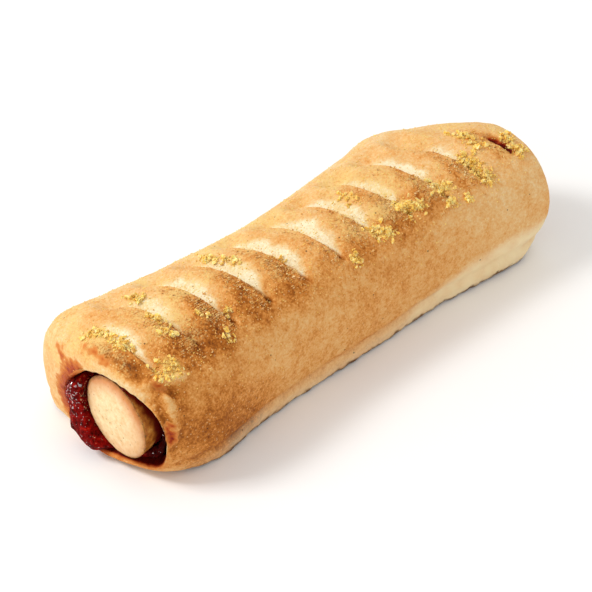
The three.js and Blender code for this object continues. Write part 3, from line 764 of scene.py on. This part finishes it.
# %% Crust
CRUST_RAMP = [
    (0.00, "#F8ECC8"),
    (0.20, "#EFD19E"),
    (0.38, "#EABA7A"),
    (0.53, "#E2A158"),
    (0.66, "#CC8136"),
    (0.80, "#A25A16"),
    (1.00, "#5E2C0C"),
]
STAIN_RAMP = [(0.0, "#E09A52"), (0.35, "#D07A34"), (0.6, "#B24A14"), (0.8, "#861C06"), (1.0, "#500803")]
CRUST_NOISES = [  # name, size in millimetres, detail, roughness
    ("blisters", 2.2, 4.0, 0.72),
    ("grains", 0.8, 2.0, 0.7),
    ("blots", 1.6, 4.0, 0.65),
    ("pores", 1.1, 5.0, 0.7),
    ("patches", 12, 2, 0.6),
    ("blotches", 3.5, 3, 0.6),
    ("dots", 1.3, 3, 0.6),
    ("flour", 0.6, 2, 0.6),
]
BROWNING = [("patches", 0.20), ("blotches", 0.30), ("dots", 0.42), ("flour", 0.42)]  # noise, its weight
MELT = 0.8  # how strongly the grains break up the melted crumbs


def crust_finish():
    finish, tree, place, field, noises = start_finish("baked_bread_crust", fields, CRUST_NOISES)

    # The toast of the ridges comes in spots.
    spots = add_node(
        tree, "MapRange", EASED,
        {"Value": noises["blisters"], "From Min": 0.42, "From Max": 0.62, "To Min": 0.22, "To Max": 0.40},
    )
    # The baking here also holds the painted shade and highlight.
    baked = add_node(tree, "Math", SUM_UP, {0: spots, 1: field["toast"], 2: field["baked"]})
    for name, weight in BROWNING:
        centred = add_node(tree, "Math", {"operation": "SUBTRACT"}, {0: noises[name], 1: 0.5})
        baked = add_node(tree, "Math", SUM_UP, {0: centred, 1: weight, 2: baked})
    colour = add_node(tree, "ValToRGB", {"stops": CRUST_RAMP}, {"Fac": baked})

    # Yellow dust lies in grains of about 0.8 mm, and crumbs have melted where they gather.
    dusty = add_node(tree, "Math", MULTIPLIED, {0: noises["grains"], 1: field["dust"]})
    melted = add_node(tree, "Math", SUM_UP, {0: noises["grains"], 1: MELT, 2: field["crumbed"]})
    cells = {}
    for name, size in [("flecks", 1.5), ("specks", 5.5)]:
        cells[name] = add_node(
            tree, "TexVoronoi", {}, {"Vector": place, "Scale": per(size), "Randomness": 1.0},
            output="Distance",
        )
    layers = [  # what decides it, where it starts, where it is full and how much that is, and its colour
        (cells["flecks"], (0.22, 0.10, 0.42), "#F0D098"),
        (dusty, (0.24, 0.50, 0.7), "#EDCB80"),
        (melted, (0.74, 1.15, 0.8), "#F0CC70"),
        (field["foot"], None, "#F8E2B6"),
        (cells["specks"], (0.07, 0.035, 0.8), "#4A2C14"),
        (field["scorch"], None, "#6A4320"),
    ]
    for factor, limits, over in layers:
        if limits:
            start, full, most = limits
            factor = add_node(
                tree, "MapRange", EASED,
                {"Value": factor, "From Min": start, "From Max": full, "To Min": 0, "To Max": most},
            )
        colour = add_node(
            tree, "Mix", MIX_COLOURS, {MIX_FACTOR: factor, MIX_A: colour, MIX_B: linear(over)},
            output=MIX_RESULT,
        )

    # Sauce has soaked in round the near mouth, in uneven blots.
    stained = add_node(tree, "Math", SUM_UP, {0: noises["blots"], 1: 0.6, 2: field["stain"]})
    stained = add_node(
        tree, "MapRange", {}, {"Value": stained, "From Min": 0.40, "From Max": 1.35},
    )
    sauce_colour = add_node(tree, "ValToRGB", {"stops": STAIN_RAMP}, {"Fac": stained})
    cover = add_node(tree, "MapRange", EASED, {"Value": stained, "From Min": 0.02, "From Max": 0.26})
    colour = add_node(
        tree, "Mix", MIX_COLOURS, {MIX_FACTOR: cover, MIX_A: colour, MIX_B: sauce_colour},
        output=MIX_RESULT,
    )
    roughness = add_node(
        tree, "MapRange", {},
        {"Value": stained, "From Min": 0.3, "From Max": 0.9, "To Min": 0.6, "To Max": 0.35},
    )
    bump = add_node(
        tree, "Bump", {}, {"Strength": 0.9, "Distance": 0.55 * MM, "Height": noises["pores"]},
    )
    surface = add_node(
        tree, "BsdfPrincipled", {},
        {"Base Color": colour, "Roughness": roughness, "IOR": 1.45, "Specular IOR Level": 0.15,
         "Normal": bump, "Subsurface Weight": 0.06, "Subsurface Radius": (1.0, 0.6, 0.3),
         "Subsurface Scale": 1.5 * MM},
    )
    add_node(tree, "OutputMaterial", {}, {"Surface": surface})
    return finish


dough.data.materials.append(crust_finish())
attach(dough, "root")

# %% [markdown]
# ## Red sauce
#
# The sauce is a thick paste of peppers and tomato. It lies round the sausage as a sleeve, and wells out of
# the torn mouth in soft lumps that catch small highlights, more of them where it is foamy at the top. Deep
# behind the near face hardly any light reaches it. It is made as a closed tube like the dough, but its two
# faces, which show, get rings that lie much closer together than those of the sleeve between them.

# %% The sauce's faces
SAUCE_WELL = dict(front=3.6, start=-71, stop=25, soft=9)
SAUCE_GAP = dict(front=-12, angle=53, half=16)
SAUCE_POOL = dict(behind_lip=0.4, start=112, stop=330, soft=14)
SAUCE_REST, SAUCE_FAR_REST = -6.5, 3
SAUCE_WAVES = [(0.6, 5, 0), (0.36, 11, 2)]
CLEARANCE = 0.4
SAUCE_COLUMNS, SAUCE_FACE_RINGS, SAUCE_SLEEVE_RINGS = 240, 26, 30


def between(angle, row):
    """1 between two angles, which fades at both."""
    start, stop, soft = row["start"], row["stop"], row["soft"]
    return smooth(start - soft, start + soft, angle) * (1 - smooth(stop - soft, stop + soft, angle))


def sauce_faces(direction):
    """x of the sauce's near and far faces in a direction."""
    turned = np.degrees(np.arctan2(direction[1], direction[0])) % 360
    angle = np.where(turned > 270, turned - 360, turned)
    waves = sum(high * np.sin(count * np.radians(angle) + start) for high, count, start in SAUCE_WAVES)
    gap = bell(angle - SAUCE_GAP["angle"], SAUCE_GAP["half"])
    resting = SAUCE_REST + (SAUCE_GAP["front"] - SAUCE_REST) * gap
    behind_lip = mouth_point(NEAR_END, direction, 0)[0] + LIP_RADIUS + SAUCE_POOL["behind_lip"]
    resting = resting + (SAUSAGE_NEAR - behind_lip - resting) * between(turned, SAUCE_POOL)
    near = SAUSAGE_NEAR - (resting + (SAUCE_WELL["front"] + waves - resting) * between(angle, SAUCE_WELL))
    return near, SAUSAGE_FAR - SAUCE_FAR_REST + waves


def bore_radius(x, direction):
    """The bore widens evenly towards both mouths."""
    near_x = lip_x_at(NEAR_END, direction)
    far_x = lip_x_at(FAR_END, direction)
    to_near = np.clip((x - BORE_NEAR) / (near_x - BORE_NEAR), 0, 1)
    to_far = np.clip((x - BORE_FAR) / (far_x - BORE_FAR), 0, 1)
    near_room = (mouth_radius(NEAR_END, direction) - BORE_RADIUS) * to_near
    return BORE_RADIUS + near_room + (MOUTH_RADIUS - BORE_RADIUS) * to_far


def lip_x_at(end, direction):
    return mouth_point(end, direction, 0)[0] - math.copysign(LIP_RADIUS, end["x"])


def sauce_point(x, direction, outside):
    """A point between the sausage (0) and the sauce's skin (1)."""
    inner = SAUSAGE_RADIUS + CLEARANCE
    outer = bore_radius(x, direction) - CLEARANCE
    return round_line(x, inner + (outer - inner) * outside, direction)


# %% The sauce
sauce_walk = np.linspace(-1, 1, SAUCE_COLUMNS + 1)[None, :]
sauce_near_way = direction_at(NEAR_END, sauce_walk)
sauce_far_way = direction_at(FAR_END, sauce_walk)
face_turn = np.linspace(0, math.pi, SAUCE_FACE_RINGS)[:, None]
face_out = 0.5 - 0.5 * np.cos(face_turn)
FACE_CROWN = 1.6  # how far the middle of the face stands before its edges
face_back = FACE_CROWN * (1 - np.sin(face_turn) ** 0.7)
near_face = sauce_point(sauce_faces(sauce_near_way)[0] + face_back, sauce_near_way, face_out)
far_face = sauce_point(sauce_faces(sauce_far_way)[1] - face_back, sauce_far_way, 1 - face_out)
sleeve_x = np.linspace(BORE_NEAR, BORE_FAR, SAUCE_SLEEVE_RINGS)[:, None]
sleeve_share = (sleeve_x - NEAR_END["x"]) / (FAR_END["x"] - NEAR_END["x"])
sleeve_way = unit_mix(sauce_near_way, sauce_far_way, sleeve_share)
sauce_rows = np.concatenate([
    near_face,
    sauce_point(sleeve_x, sleeve_way, 1.0),
    far_face,
    sauce_point(sleeve_x, sleeve_way, 0.0)[::-1],
    near_face[:1],
])
SAUCE_LUMPS = [(3.4, 0.55, 21), (1.5, 0.28, 22), (0.8, 0.1, 23)]
for rows in (slice(0, SAUCE_FACE_RINGS), slice(-1, None)):
    rise = sum(high * lumps(sauce_rows[rows], size, seed) for size, high, seed in SAUCE_LUMPS)
    sauce_rows[rows, :, 0] -= rise
sauce = roll_up("red_sauce", sauce_rows, {
    "foamy": smooth(9, 19, sauce_rows[..., 2]),
    "deep": smooth(3, 9, sauce_rows[..., 0] - SAUSAGE_NEAR) * (sauce_rows[..., 0] < 0),
})
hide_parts("sauce")


# %% Sauce finish
SAUCE_RAMP = [(0.36, "#3A0200"), (0.54, "#780604"), (0.68, "#A8180A"), (0.80, "#D06434")]
SAUCE_NOISES = [("pulp", 2.0, 4.0, 0.65), ("grain", 0.9, 3.0, 0.6), ("beads", 0.8, 1.0, 0.5)]
FOAM = 0.085  # how many more beads shine where it is foamy


def sauce_finish():
    kept = ("foamy", "deep")
    finish, tree, _, field, noises = start_finish("thick_pepper_sauce", kept, SAUCE_NOISES)
    colour = add_node(tree, "ValToRGB", {"stops": SAUCE_RAMP}, {"Fac": noises["pulp"]})
    colour = add_node(
        tree, "Mix", MIX_COLOURS, {MIX_FACTOR: field["deep"], MIX_A: colour, MIX_B: linear("#180100")},
        output=MIX_RESULT,
    )
    bump = add_node(tree, "Bump", {}, {"Strength": 1.0, "Distance": 0.6 * MM, "Height": noises["grain"]})
    beads = add_node(tree, "Math", SUM_UP, {0: field["foamy"], 1: FOAM, 2: noises["beads"]})
    wet = add_node(
        tree, "MapRange", EASED,
        {"Value": beads, "From Min": 0.68, "From Max": 0.72, "To Min": 0, "To Max": 1},
    )
    surface = add_node(
        tree, "BsdfPrincipled", {},
        {"Base Color": colour, "Roughness": 0.5, "IOR": 1.4, "Specular IOR Level": 0.05, "Normal": bump,
         "Coat Weight": wet, "Coat Roughness": 0.1, "Coat IOR": 3.6},
    )
    add_node(tree, "OutputMaterial", {}, {"Surface": surface})
    return finish


sauce.data.materials.append(sauce_finish())
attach(sauce, "root")

# %% [markdown]
# ## The sausage
#
# A whole cooked sausage, cut off square at the near end. Its meat is fine and pale with dark specks of
# spice on both faces, and its skin is thin, shiny and a little wrinkled, with sauce smeared on it from the
# near lip on. As by hand, it starts as a filled circle, which is pulled out ring by ring and then bent.

# %% Sausage body
SAUSAGE_SIDES, FACE_INSETS = 120, 12
FACE_BULGE, EDGE_RADIUS = 0.7, 0.9
NEARLY_NOTHING = 1e-6  # keeps a division by a length from failing where the length is 0


def sausage_body():
    """A circle at the near face, pulled out along the line."""
    deselect()
    bpy.ops.mesh.primitive_circle_add(
        vertices=SAUSAGE_SIDES, radius=SAUSAGE_RADIUS * MM, fill_type="NGON",
        rotation=(0, -QUARTER_TURN, 0), location=(SAUSAGE_NEAR * MM, 0, 0),
    )
    body = bpy.context.object
    body.name = "pale_sausage"
    bpy.ops.object.transform_apply(location=True, rotation=True, scale=True)
    bpy.ops.object.mode_set(mode="EDIT")
    bpy.ops.mesh.select_all(action="SELECT")
    stops = np.concatenate([np.linspace(SAUSAGE_NEAR, BORE_NEAR, 25), line_places[1:], [SAUSAGE_FAR]])
    for step in np.diff(stops):
        bpy.ops.mesh.extrude_region_move(TRANSFORM_OT_translate={"value": (step * MM, 0, 0)})
    bpy.ops.object.mode_set(mode="OBJECT")
    return body


sausage = sausage_body()


# %% Rings on its faces
def inset_faces(body, x, insets):
    """Insets the round face at x again and again, so that it gets rings, and closes its middle."""
    bpy.ops.object.mode_set(mode="EDIT")
    bpy.ops.mesh.select_all(action="DESELECT")
    bpy.ops.object.mode_set(mode="OBJECT")
    for polygon in body.data.polygons:
        polygon.select = abs(polygon.center.x - x * MM) < 0.01 * MM and abs(polygon.normal.x) > 0.9
    bpy.ops.object.mode_set(mode="EDIT")
    bpy.ops.mesh.select_mode(type="FACE")
    for _ in range(insets):
        bpy.ops.mesh.inset(thickness=SAUSAGE_RADIUS / (insets + 1) * MM)
    bpy.ops.mesh.poke()
    bpy.ops.object.mode_set(mode="OBJECT")


for x in (SAUSAGE_NEAR, SAUSAGE_FAR):
    inset_faces(sausage, x, FACE_INSETS)


# %% Bent, rounded and finished as a body
def bend_sausage(body):
    mesh = body.data
    flat = np.empty(len(mesh.vertices) * 3)
    mesh.vertices.foreach_get("co", flat)
    points = flat.reshape(-1, 3) / MM
    x, y, z = points.T
    off = np.hypot(y, z)
    rounding = EDGE_RADIUS * (1 - np.sqrt(1 - np.clip((off - SAUSAGE_RADIUS) / EDGE_RADIUS + 1, 0, 1) ** 2))
    near_face = np.abs(x - SAUSAGE_NEAR) < 0.01
    far_face = np.abs(x - SAUSAGE_FAR) < 0.01
    bulge = FACE_BULGE * (1 - np.clip(off / (SAUSAGE_RADIUS - EDGE_RADIUS), 0, 1) ** 2)
    x = x + np.where(near_face, rounding - bulge, 0) - np.where(far_face, rounding, 0)
    cut_mask = (near_face | far_face) * (1 - smooth(SAUSAGE_RADIUS - 1.2, SAUSAGE_RADIUS - 0.3, off))
    grain = 0.12 * lumps(points, 2.6, seed=31) + 0.10 * lumps(points, 1.0, seed=32)
    x = x + np.where(near_face, grain, 0)
    wrinkles = np.where(near_face | far_face, 0, 0.12 * lumps(points * np.array([0.4, 1, 1]), 2.4, seed=33))
    scale = 1 + wrinkles / SAUSAGE_RADIUS
    moved = np.stack([x, y * scale + bore_y(x), z * scale + CENTRE_HEIGHT], axis=-1)
    mesh.vertices.foreach_set("co", ((moved + shift) * MM).ravel())
    rim = bell(off - SAUSAGE_RADIUS + 0.5, 3.4) * (0.35 + 0.65 * smooth(-2, 11, z)) * near_face
    # Painted shade: the cut face is faintly darker and more orange along its lower right.
    rim += 0.22 * smooth(2, -12, y + 0.5 * z) * near_face  # and faintly along its lower right
    from_axis = np.maximum(off, NEARLY_NOTHING)
    lip_x = mouth_point(NEAR_END, (y / from_axis, z / from_axis), 0)[0]
    smear = smooth(-2.0, 0.4, x - lip_x + 0.8 * lumps(points, 2.0, seed=34)) * (~near_face & ~far_face)
    keep_fields(mesh, {"cut_face": cut_mask, "rim_stain": rim, "smear": smear})


bend_sausage(sausage)
close_up()
print("sausage:", len(sausage.data.polygons), "faces")
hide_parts("sausage")


# %% Sausage finish
SAUSAGE_NOISES = [("meat", 2.4, 5.0, 0.75), ("casing", 2.6, 4.0, 0.7)]
SAUSAGE_RAMPS = {
    "meat": [(0.3, "#E0B67C"), (0.5, "#EFD09E"), (0.7, "#F7E4B8")],
    "casing": [(0.3, "#743810"), (0.5, "#B06A26"), (0.7, "#D29A48")],
}


def sausage_finish():
    kept = ("cut_face", "rim_stain", "smear")
    finish, tree, place, field, noises = start_finish("cooked_sausage", kept, SAUSAGE_NOISES)
    colours = {}
    for name, stops in SAUSAGE_RAMPS.items():
        colours[name] = add_node(tree, "ValToRGB", {"stops": stops}, {"Fac": noises[name]})
    spice = add_node(
        tree, "TexVoronoi", {}, {"Vector": place, "Scale": per(1.9), "Randomness": 1.0},
        output="Distance",
    )
    specks = add_node(
        tree, "MapRange", EASED,
        {"Value": spice, "From Min": 0.16, "From Max": 0.07, "To Min": 0, "To Max": 0.75},
    )
    # Its orange rim is a stain at the top and painted shade along the lower right.
    rimmed_and_shaded = add_node(tree, "Math", MULTIPLIED, {0: field["rim_stain"], 1: 0.85})
    layers = [("meat", specks, "#8A5A2C"), ("meat", rimmed_and_shaded, "#C9783A"), ("casing", field["smear"], "#5E0A04")]
    for name, factor, over in layers:
        colours[name] = add_node(
            tree, "Mix", MIX_COLOURS, {MIX_FACTOR: factor, MIX_A: colours[name], MIX_B: linear(over)},
            output=MIX_RESULT,
        )
    colour = add_node(
        tree, "Mix", MIX_COLOURS,
        {MIX_FACTOR: field["cut_face"], MIX_A: colours["casing"], MIX_B: colours["meat"]},
        output=MIX_RESULT,
    )
    roughness = add_node(
        tree, "MapRange", {}, {"Value": field["cut_face"], "To Min": 0.28, "To Max": 0.55},
    )
    bump = add_node(
        tree, "Bump", {}, {"Strength": 0.5, "Distance": 0.3 * MM, "Height": noises["casing"]},
    )
    surface = add_node(
        tree, "BsdfPrincipled", {},
        {"Base Color": colour, "Roughness": roughness, "IOR": 1.42, "Specular IOR Level": 0.35,
         "Normal": bump, "Subsurface Weight": 0.12, "Subsurface Radius": (1.0, 0.5, 0.25),
         "Subsurface Scale": 2 * MM},
    )
    add_node(tree, "OutputMaterial", {}, {"Surface": surface})
    return finish


sausage.data.materials.append(sausage_finish())
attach(sausage, "root")

# %% [markdown]
# ## Crumbs
#
# Coarse yellow crumbs were strewn on the wet dough and baked on. They gather in the slashes in clumps,
# and finer ones lie loose all over the top. On the ridges some have melted to small glistening grains.
# For each kind one crumb is modelled by hand from an icosphere, and copied with a seeded draw for its
# place, size and turn. A copy has its own vertices, and each kind is joined into one piece.

# %% Where a crumb can lie
skin_points = skin.reshape(-1, 3)
skin_out = outward.reshape(-1, 3)
skin_walks = skin_walk.reshape(-1)
skin_places = skin_points[:, 0] - slash_run(skin_walks)
tree_of_skin = kdtree.KDTree(len(skin_points))
for index, (where, at) in enumerate(zip(skin_places.tolist(), (skin_walks * WALK_LENGTH).tolist())):
    tree_of_skin.insert((where, at, 0), index)
tree_of_skin.balance()


def lay(spots, where, at, radius, rise):
    """Adds a crumb to the spots: its centre, a little over the skin at a place and a walk, and its radius."""
    index = tree_of_skin.find((where, at * WALK_LENGTH, 0))[1]
    spots.append((skin_points[index] + skin_out[index] * rise, radius))


# %% One crumb, many copies
ROUGHEN = dict(offset=0.5, uniform=0.9, normal=0.2, seed=4)
FLATTEN = (1.15, 0.95, 0.7)
STRETCH = (0.75, 1.25)  # how much each copy is drawn out, each way


def crumb_model(name, subdivisions):
    """A lumpy crumb of radius 1."""
    deselect()
    bpy.ops.mesh.primitive_ico_sphere_add(subdivisions=subdivisions, radius=1)
    crumb = bpy.context.object
    crumb.name = name
    bpy.ops.object.mode_set(mode="EDIT")
    bpy.ops.mesh.select_all(action="SELECT")
    bpy.ops.transform.vertex_random(**ROUGHEN)
    bpy.ops.transform.resize(value=FLATTEN)
    bpy.ops.object.mode_set(mode="OBJECT")
    return crumb


def turns(draw, count):
    """Random turns, as count matrices of three by three."""
    quaternion = draw.normal(size=(count, 4))
    w, x, y, z = (quaternion / np.linalg.norm(quaternion, axis=1, keepdims=True)).T
    rows = [
        [1 - 2 * (y * y + z * z), 2 * (x * y - z * w), 2 * (x * z + y * w)],
        [2 * (x * y + z * w), 1 - 2 * (x * x + z * z), 2 * (y * z - x * w)],
        [2 * (x * z - y * w), 2 * (y * z + x * w), 1 - 2 * (x * x + y * y)],
    ]
    return np.moveaxis(np.array(rows), -1, 0)


def strewn(crumb, name, spots, draw):
    """Copies a crumb to the spots, joined as one mesh."""
    centres, radii = (np.array(part) for part in zip(*spots))
    mesh = crumb.data
    corners = np.array([vertex.co for vertex in mesh.vertices])
    faces = np.array([polygon.vertices for polygon in mesh.polygons])
    count = len(centres)
    stretched = corners * draw.uniform(*STRETCH, (count, 1, 3)) * radii[:, None, None]
    points = np.einsum("nij,nkj->nki", turns(draw, count), stretched) + centres[:, None, :]
    all_faces = (faces[None] + len(corners) * np.arange(count)[:, None, None]).reshape(-1, 3)
    joined = bpy.data.meshes.new(name)
    joined.from_pydata(((points + shift) * MM).reshape(-1, 3).tolist(), [], all_faces.tolist())
    piece = bpy.data.objects.new(name, joined)
    bpy.context.collection.objects.link(piece)
    bpy.data.objects.remove(crumb)
    print(name, "has", count, "crumbs and", len(joined.polygons), "faces")
    return piece


# %% Clumps in the slashes
CRUMB_SHARE = 4.4  # copies for each counted crumb, as a crumb bakes into smaller flakes
COARSE_RADIUS, COARSE_MORE = 0.24, 0.76  # the smallest, and what the largest has more
COARSE_RISE, HEAP, ALONG = 0.15, 0.9, 0.8  # a clump is heaped up, and a little shorter along the roll

draw = np.random.default_rng(11)
spots = []
for where, at, wide, count in CLUMPS:
    for _ in range(round(count * CRUMB_SHARE)):
        off = draw.normal(size=2) * wide
        radius = COARSE_RADIUS + COARSE_MORE * draw.uniform() ** 3
        heap = HEAP * math.exp(-float(off @ off) / wide**2) * draw.uniform()
        rise = COARSE_RISE * radius + heap
        lay(spots, where + off[0] * ALONG, at + off[1] / WALK_LENGTH, radius, rise)
coarse = strewn(crumb_model("crumb", 2), "coarse_crumbs", spots, draw)

# %% Loose fine crumbs over the top
FINE_TRIES, FINE_RADIUS, FINE_RISE = 6800, (0.11, 0.27), 0.2
FINE_ALONG, FINE_MIDDLE, FINE_SPREAD = (-78, 82), -0.02, 0.18  # places, and walks
FINE_ANYWHERE, FINE_IN_SLASH, SLASH_MIDDLE, SLASH_REACH = 0.4, 0.42, 2.5, 3

spots = []
for _ in range(FINE_TRIES):
    at = draw.normal(FINE_MIDDLE, FINE_SPREAD)
    where = draw.uniform(*FINE_ALONG)
    off_slash = min(abs(where - slash - SLASH_MIDDLE) for slash, *_ in slashes)
    if draw.uniform() < FINE_ANYWHERE + FINE_IN_SLASH * bell(off_slash, SLASH_REACH):
        radius = draw.uniform(*FINE_RADIUS)
        lay(spots, where, at, radius, FINE_RISE * radius)
fine = strewn(crumb_model("crumb", 1), "fine_crumbs", spots, draw)

# %% Glistening grains on the ridges
GRAIN_TRIES, GRAIN_RADIUS, GRAIN_MORE, GRAIN_RISE = 3000, 0.14, 0.38, 0.15
GRAIN_BACK, GRAIN_ALONG, GRAIN_MIDDLE, GRAIN_SPREAD = -2.6, 2.1, 0.11, 0.08  # places, and walks
GRAIN_ANYWHERE = 0.3  # the share that stays where a ridge isn't toasted at all

spots = []
for _ in range(GRAIN_TRIES):
    slash, _, _, _, browned, _ = slashes[int(draw.integers(1, len(slashes)))]
    where, at = slash + draw.normal(GRAIN_BACK, GRAIN_ALONG), draw.normal(GRAIN_MIDDLE, GRAIN_SPREAD)
    radius = GRAIN_RADIUS + GRAIN_MORE * draw.uniform() ** 2
    if draw.uniform() < GRAIN_ANYWHERE + (1 - GRAIN_ANYWHERE) * browned:
        lay(spots, where, at, radius, GRAIN_RISE * radius)
grains = strewn(crumb_model("grain", 1), "melted_grains", spots, draw)


# %% Crumb finishes
def crumb_finish(name, stops, roughness, coat):
    """Baked cheese-like crumbs: yellow, with toasted ends."""
    finish, tree, _, _, noises = start_finish(name, (), [("toast", 1.5, 3.0, 0.6)])
    colour = add_node(tree, "ValToRGB", {"stops": stops}, {"Fac": noises["toast"]})
    surface = add_node(
        tree, "BsdfPrincipled", {},
        {"Base Color": colour, "Roughness": roughness, "IOR": 1.45, "Coat Weight": coat,
         "Coat Roughness": 0.1, "Subsurface Weight": 0.5, "Subsurface Radius": (1.0, 0.8, 0.4),
         "Subsurface Scale": 1.0 * MM},
    )
    add_node(tree, "OutputMaterial", {}, {"Surface": surface})
    return finish


yellow = [(0.3, "#CE8A32"), (0.45, "#F9C658"), (0.65, "#FFE896")]
golden = [(0.3, "#AC6A2C"), (0.5, "#DCA054"), (0.7, "#F8D090")]
for piece, stops, roughness, coat in [
    (coarse, yellow, 0.5, 0.1),
    (fine, yellow, 0.5, 0.05),
    (grains, golden, 0.4, 0.3),
]:
    piece.data.materials.append(crumb_finish(piece.name, stops, roughness, coat))
    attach(piece, "root")

# %% [markdown]
# ## Floor, light and camera
#
# The roll lies on a plain white floor. One soft light stands off its near end to the left, as a window
# would, and a pale sky fills the shadows. The camera looks down on the near right side.

# %% Floor
deselect()
bpy.ops.mesh.primitive_plane_add(size=6)
floor = bpy.context.object
floor.name = "floor"
white, white_tree = new_finish("white_board")
matt = add_node(
    white_tree, "BsdfPrincipled", {}, {"Base Color": linear("#F6F6F6"), "Roughness": 0.9},
)
add_node(white_tree, "OutputMaterial", {}, {"Surface": matt})
floor.data.materials.append(white)

# %% Light
SKY_STRENGTH = 0.84
KEY_DIRECTION = Vector((-0.62, 0.42, 0.78)).normalized()
KEY_DISTANCE, KEY_SIZE, KEY_POWER = 1.1, 0.3, 6.4

world = bpy.data.worlds.new("studio")
bpy.context.scene.world = world
world.use_nodes = True
world.node_tree.nodes.clear()
sky_tree = world.node_tree
sky = add_node(
    sky_tree, "Background", {}, {"Color": linear("#FFFDFA"), "Strength": SKY_STRENGTH},
)
add_node(sky_tree, "OutputWorld", {}, {"Surface": sky})
key_light = bpy.data.lights.new("window", "AREA")
key_light.energy, key_light.size = KEY_POWER, KEY_SIZE
key = bpy.data.objects.new("window", key_light)
key.location = KEY_DIRECTION * KEY_DISTANCE
key.rotation_euler = (-KEY_DIRECTION).to_track_quat("-Z", "Y").to_euler()
bpy.context.collection.objects.link(key)
bpy.context.scene.view_settings.view_transform = "Standard"

# %% Camera
AZIMUTH, ELEVATION, DISTANCE = math.radians(-41.68), math.radians(41), 900
IMAGE_WIDTH, PIXELS_PER_MM, SENSOR = 592, 3.26, 36
AIM_RIGHT, AIM_UP = -1.76, -3.10  # from the middle of the roll to the middle of the picture, in mm

back = Vector((
    math.sin(AZIMUTH) * math.cos(ELEVATION),
    -math.cos(AZIMUTH) * math.cos(ELEVATION),
    math.sin(ELEVATION),
))
right = Vector((math.cos(AZIMUTH), math.sin(AZIMUTH), 0))
up = back.cross(right)
aim = Vector((shift[0], shift[1], 20)) + AIM_RIGHT * right + AIM_UP * up
lens = bpy.data.cameras.new("camera")
lens.sensor_width = SENSOR
lens.lens = SENSOR * DISTANCE / (IMAGE_WIDTH / PIXELS_PER_MM)
camera = bpy.data.objects.new("camera", lens)
camera.location = (aim + DISTANCE * back) * MM
camera.rotation_euler = (-back).to_track_quat("-Z", "Y").to_euler()
bpy.context.collection.objects.link(camera)
bpy.context.scene.camera = camera
print("lens:", round(lens.lens, 1), "mm")
